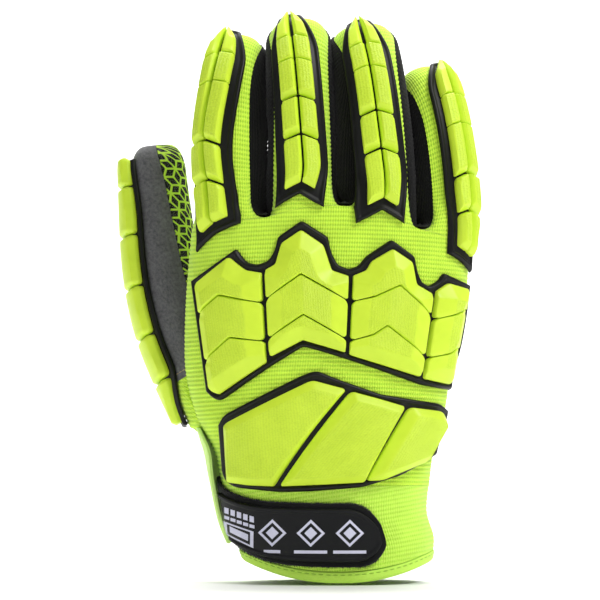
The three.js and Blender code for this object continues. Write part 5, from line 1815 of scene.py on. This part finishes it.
@dataclass
class WristStrap:
    """Hook-and-loop strap round the wrist with its moulded rubber tab."""

    start: float = 64.5
    end: float = 250.0
    tab_end: float = 164.0
    end_round: float = 14.0
    margin: float = 2.4

    def half(self, turn: Array, start: float) -> Array:
        """Half the band's width, rounded at its free end."""
        reach = np.radians(turn - start) * HAND_WIDTH * 0.36
        return STRAP.read("half", turn) * STRAP_WIDTH * mix(0.12, 1, round_in((reach + 0.6) / self.end_round))

    def band(self, turn: Array, level: Array, lift: Array | float, start: float, margin: float) -> Array:
        """Point of the band.

        Args:
            turn: degrees round the wrist.
            level: from -1 at the lower edge to 1 at the upper one.
            lift: millimetres off the cuff's skin.
            start: where the band's rounded end is.
            margin: how far the edge is drawn in.

        Returns:
            Points in millimetres.
        """
        half = self.half(turn, start) - margin
        return hand_point(turn, STRAP.read("height", turn) * STRAP_CENTRE + half * level, lift)

    def turns(self, start: float, end: float, count: int) -> Array:
        """Places round the wrist, closer together at the rounded end."""
        near = start + 12 * (1 - np.cos(np.linspace(0, math.pi / 2, 16)))
        return np.concatenate([near, np.linspace(start + 12, end, count)[1:]])[:, None]

    def loop(self) -> bpy.types.Object:
        """Builds the pile strap.

        Returns:
            The strap as one piece.
        """
        turn = self.turns(self.start, self.end, 150)
        level = np.sin(np.linspace(-math.pi / 2, math.pi / 2, 30))[None, :]
        edge = np.sqrt(np.maximum(1 - np.abs(level) ** 14, 0))
        outer = self.band(turn, level, STRAP_GAP + STRAP_WALL * (0.45 + 0.55 * edge), self.start, 0)
        inner = self.band(turn, level, STRAP_GAP + STRAP_WALL * 0.35 * (1 - edge), self.start, 0)
        along = arc_lengths(outer, 0)
        pattern = np.stack([along, arc_lengths(outer, 1), 0 * along], -1)
        return Shell("wrist_strap").patch(outer, inner, pattern).build(60)

    def fuzz(self) -> bpy.types.Object:
        """Builds the loose fibres along the strap's two edges.

        Returns:
            All fibres as one piece.
        """
        chance = np.random.default_rng(7)
        count = 2600
        turn = self.start + 4 + (self.tab_end + 30 - self.start) * chance.random(count)
        side = np.where(chance.random(count) < 0.7, 1.0, -1.0)
        lift = STRAP_GAP + STRAP_WALL * (0.2 + 0.7 * chance.random(count))
        root = self.band(turn, side * 0.985, lift, self.start, 0)
        reach = 0.35 + 0.75 * chance.random(count)
        tip = root + np.stack([(chance.random(count) - 0.5) * 0.9, -0.5 * chance.random(count),
                               side * reach], -1)
        aside = np.array([0.09, 0, 0])
        deep = np.array([0, 0.09, 0])
        corners = np.stack([root - aside, root + aside, root + deep, tip], 1).reshape(-1, 3)
        first = np.arange(count)[:, None] * 4
        faces = np.concatenate([first + np.array(f) for f in ((0, 1, 3, 3), (1, 2, 3, 3), (2, 0, 3, 3),
            (0, 2, 1, 1))])
        return mesh_object("strap_fibres", corners, faces, corners, 180)

    def tab(self) -> bpy.types.Object:
        """Builds the moulded tab with its raised rim.

        Returns:
            The tab as one piece.
        """
        start = self.start + 3
        turn = self.turns(start, self.tab_end, 120)
        level = np.sin(np.linspace(-math.pi / 2, math.pi / 2, 60))[None, :]
        foot = STRAP_GAP + STRAP_WALL + 0.1
        ground = self.band(turn, level, foot, start, self.margin)
        # The far end has no rim: it lies under the fold
        lines = (ground[0], ground[:, 0], ground[:, -1])
        nearest = np.min([distance_to(ground, line) for line in lines], axis=0)
        rim = 0.55 * (smooth(nearest / 0.5) - smooth((nearest - 1.6) / 0.7))
        rise = 1.5 * round_in((nearest + 0.1) / 0.8) + rim
        outer = self.band(turn, level, foot + rise, start, self.margin)
        pattern = np.stack([arc_lengths(ground, 0), arc_lengths(ground, 1), 0 * nearest], -1)
        return Shell("strap_tab").patch(outer, ground, pattern).build(50)

    def mark(self, shell: Shell, corners: Sequence[tuple[float, float]], hole: float = 0.0) -> None:
        """Adds a flat printed shape to a sheet.

        Args:
            shell: the sheet.
            corners: its corners seen from the front, in millimetres across and above the opening.
            hole: share of its size that is left open in its middle.
        """
        ring = np.array(corners, float)
        centre = ring.mean(axis=0)
        steps = np.linspace(0, 1, 9)[:-1, None]
        outline = np.concatenate([mix(a, b, steps) for a, b in zip(ring, np.roll(ring, -1, axis=0))])
        layers = np.stack([centre + (outline - centre) * share
                           for share in np.linspace(max(hole, 0.02), 1, 8)])
        top = STRAP_GAP + STRAP_WALL + 0.1 + 1.5
        faces = [plan_point(layers[..., 0], layers[..., 1], lift) for lift in (top + 0.07, top - 0.1)]
        shell.patch(*faces, np.concatenate([layers, 0 * layers[..., :1]], -1), closed=True)

    def marks(self) -> bpy.types.Object:
        """Builds the plain printed marks: small bars, a framed patch and three lozenges over bars.

        Returns:
            All marks as one piece.
        """
        shell = Shell("tab_marks")
        for k in range(5):
            x, z = -45.6 + 2.8 * k, 33.6 - 0.85 * k
            self.mark(shell, [(x, z - 2.2), (x + 1.9, z - 2.7), (x + 1.9, z), (x, z + 0.5)])
            self.mark(shell, [(x, z - 4.9), (x + 2.2, z - 5.4), (x + 2.2, z - 3.9), (x, z - 3.4)])
        self.mark(shell, [(-45.6, 21.6), (-32.6, 15.8), (-32.6, 23.4), (-46.0, 27.6)], 0.78)
        self.mark(shell, [(-43.0, 22.6), (-35.0, 19.0), (-35.0, 22.0), (-43.2, 25.4)])
        for middle, half in ((-24.4, 3.6), (-7.6, 7.2), (9.4, 7.2)):
            self.mark(shell, [(middle - 6.2, 23), (middle, 16.8), (middle + 6.2, 23), (middle, 29.2)], 0.76)
            self.mark(shell, [(middle - 2.8, 23), (middle, 20.1), (middle + 2.8, 23), (middle, 25.9)])
            self.mark(shell, [(middle - half, 13.8), (middle + half, 13.8), (middle + half, 15.2),
                              (middle - half, 15.2)])
        return shell.build(60)

    def build(self, finishes: Finishes) -> None:
        """Builds and dresses the strap.

        Args:
            finishes: the materials.
        """
        strap = place_piece(self.loop(), finishes.pile, "strap_loop", "wrist_strap")
        fibres = place_piece(self.fuzz(), finishes.pile, "strap_loop")
        tab = place_piece(self.tab(), finishes.tab, "tab_rubber", "strap_tab")
        marks = place_piece(self.marks(), finishes.mark, "tab_rubber")
        as_sheet(strap, (29, 150))


@dataclass
class Studio:
    """Pale backdrop, soft lights and the camera."""

    middle: tuple[float, float, float] = (-12.9, 0.0, 128.8)
    distance: float = 2200.0
    view: float = 276.0

    def backdrop(self) -> None:
        """Adds a floor that curves up into a wall behind the glove."""
        # The wall stands farther off than a camera that looks from behind
        profile = [(-3400, -1), (2900, -1)]
        profile += [(2900 + 600 * math.sin(a), 599 - 600 * math.cos(a))
                    for a in np.linspace(0, math.pi / 2, 24)[1:]]
        profile.append((3500, 3200))
        line = np.array(profile, float)
        x = np.linspace(-3400, 3400, 3)
        points = np.stack(np.broadcast_arrays(x[:, None], line[None, :, 0], line[None, :, 1]), -1)
        piece = Shell("backdrop").patch(points, points + np.array([0, 5, -5]), 0 * points).build(80)
        material = bpy.data.materials.new("matte_white_paper")
        material.use_nodes = True
        tree = material.node_tree
        grain = put(tree, "ShaderNodeTexNoise", {"Scale": 900.0, "Detail": 2.0})
        bump = put(tree, "ShaderNodeBump",
            {"Height": grain.outputs["Fac"], "Strength": 0.05, "Distance": 0.0002})
        shader = tree.nodes["Principled BSDF"]
        shader.inputs["Base Color"].default_value = linear("f6f6f6")
        shader.inputs["Roughness"].default_value = 0.9
        tree.links.new(bump.outputs["Normal"], shader.inputs["Normal"])
        piece.data.materials.append(material)

    def light(self, name: str, place: tuple[float, float, float], size: float, power: float,
              aim: tuple[float, float, float] = (0, 0, 0.13)) -> None:
        """Adds a soft light.

        Args:
            name: name of the light.
            place: where it hangs, in metres.
            size: side of its square face in metres.
            power: watts.
            aim: what it faces, in metres.
        """
        data = bpy.data.lights.new(name, "AREA")
        data.size, data.energy = size, power
        lamp = bpy.data.objects.new(name, data)
        lamp.location = place
        lamp.rotation_euler = (Vector(aim) - Vector(place)).to_track_quat("-Z", "Y").to_euler()
        bpy.context.scene.collection.objects.link(lamp)

    def build(self) -> None:
        """Sets up backdrop, world, lights and camera."""
        scene = bpy.context.scene
        scene.view_settings.view_transform = "Standard"
        world = bpy.data.worlds.new("studio_air")
        world.use_nodes = True
        world.node_tree.nodes["Background"].inputs["Color"].default_value = linear("ffffff")
        world.node_tree.nodes["Background"].inputs["Strength"].default_value = 0.28
        scene.world = world
        self.backdrop()
        self.light("softbox_key", (0.95, -0.75, 1.5), 0.6, 20.5)
        self.light("softbox_fill", (-1.2, -1.4, 0.5), 1.2, 1.6)
        self.light("softbox_backdrop", (0.0, 1.3, 2.6), 2.4, 160, (0, 3.1, 0.1))
        data = bpy.data.cameras.new("camera")
        data.sensor_width = 36
        data.lens = 36 * self.distance / self.view
        data.clip_end = 20
        camera = bpy.data.objects.new("camera", data)
        target = Vector(self.middle) * MM
        camera.location = target + Vector((0, -self.distance * MM, 0.0))
        camera.rotation_euler = (target - camera.location).to_track_quat("-Z", "Y").to_euler()
        scene.collection.objects.link(camera)
        scene.camera = camera


def main() -> None:
    """Builds the glove piece by piece."""
    logging.basicConfig(level=logging.INFO, format="%(name)s %(message)s")
    Studio().build()
    finishes = Finishes()
    HandPanel(Side.BACK, "knit_back", RIB_STEP, 18, 0.2).dress(finishes.knit, "rib_knit")
    HandPanel(Side.PALM, "palm_cloth", 1.2, 20, 0.0).dress(finishes.palm, "coated_palm")
    for finger, after in zip(FINGERS, FINGERS[1:]):
        SideStrip(finger, after).dress(finishes.strip)
    ThumbPanel("thumb_side_panel", lambda share: (
        THUMB_SEAM.read("round", share), THUMB_BACK_SEAM + 0 * share)).dress(finishes.suede, "suede",
        finishes)
    ThumbPanel("thumb_pad", lambda share: (
        THUMB_BACK_SEAM + 0 * share, THUMB_SEAM.read("round", share) + 360)).dress(
            finishes.palm, "coated_palm", finishes)
    for finger in FINGERS:
        FingerGuard(finger).build(finishes.base, finishes.block)
    KnuckleGuard().build(finishes.base, finishes.block)
    HandGuard().build(finishes.base, finishes.block)
    ThumbGuard().build(finishes.base, finishes.block)
    Cuff().build(finishes)
    WristStrap().build(finishes)


if __name__ == "__main__":
    main()
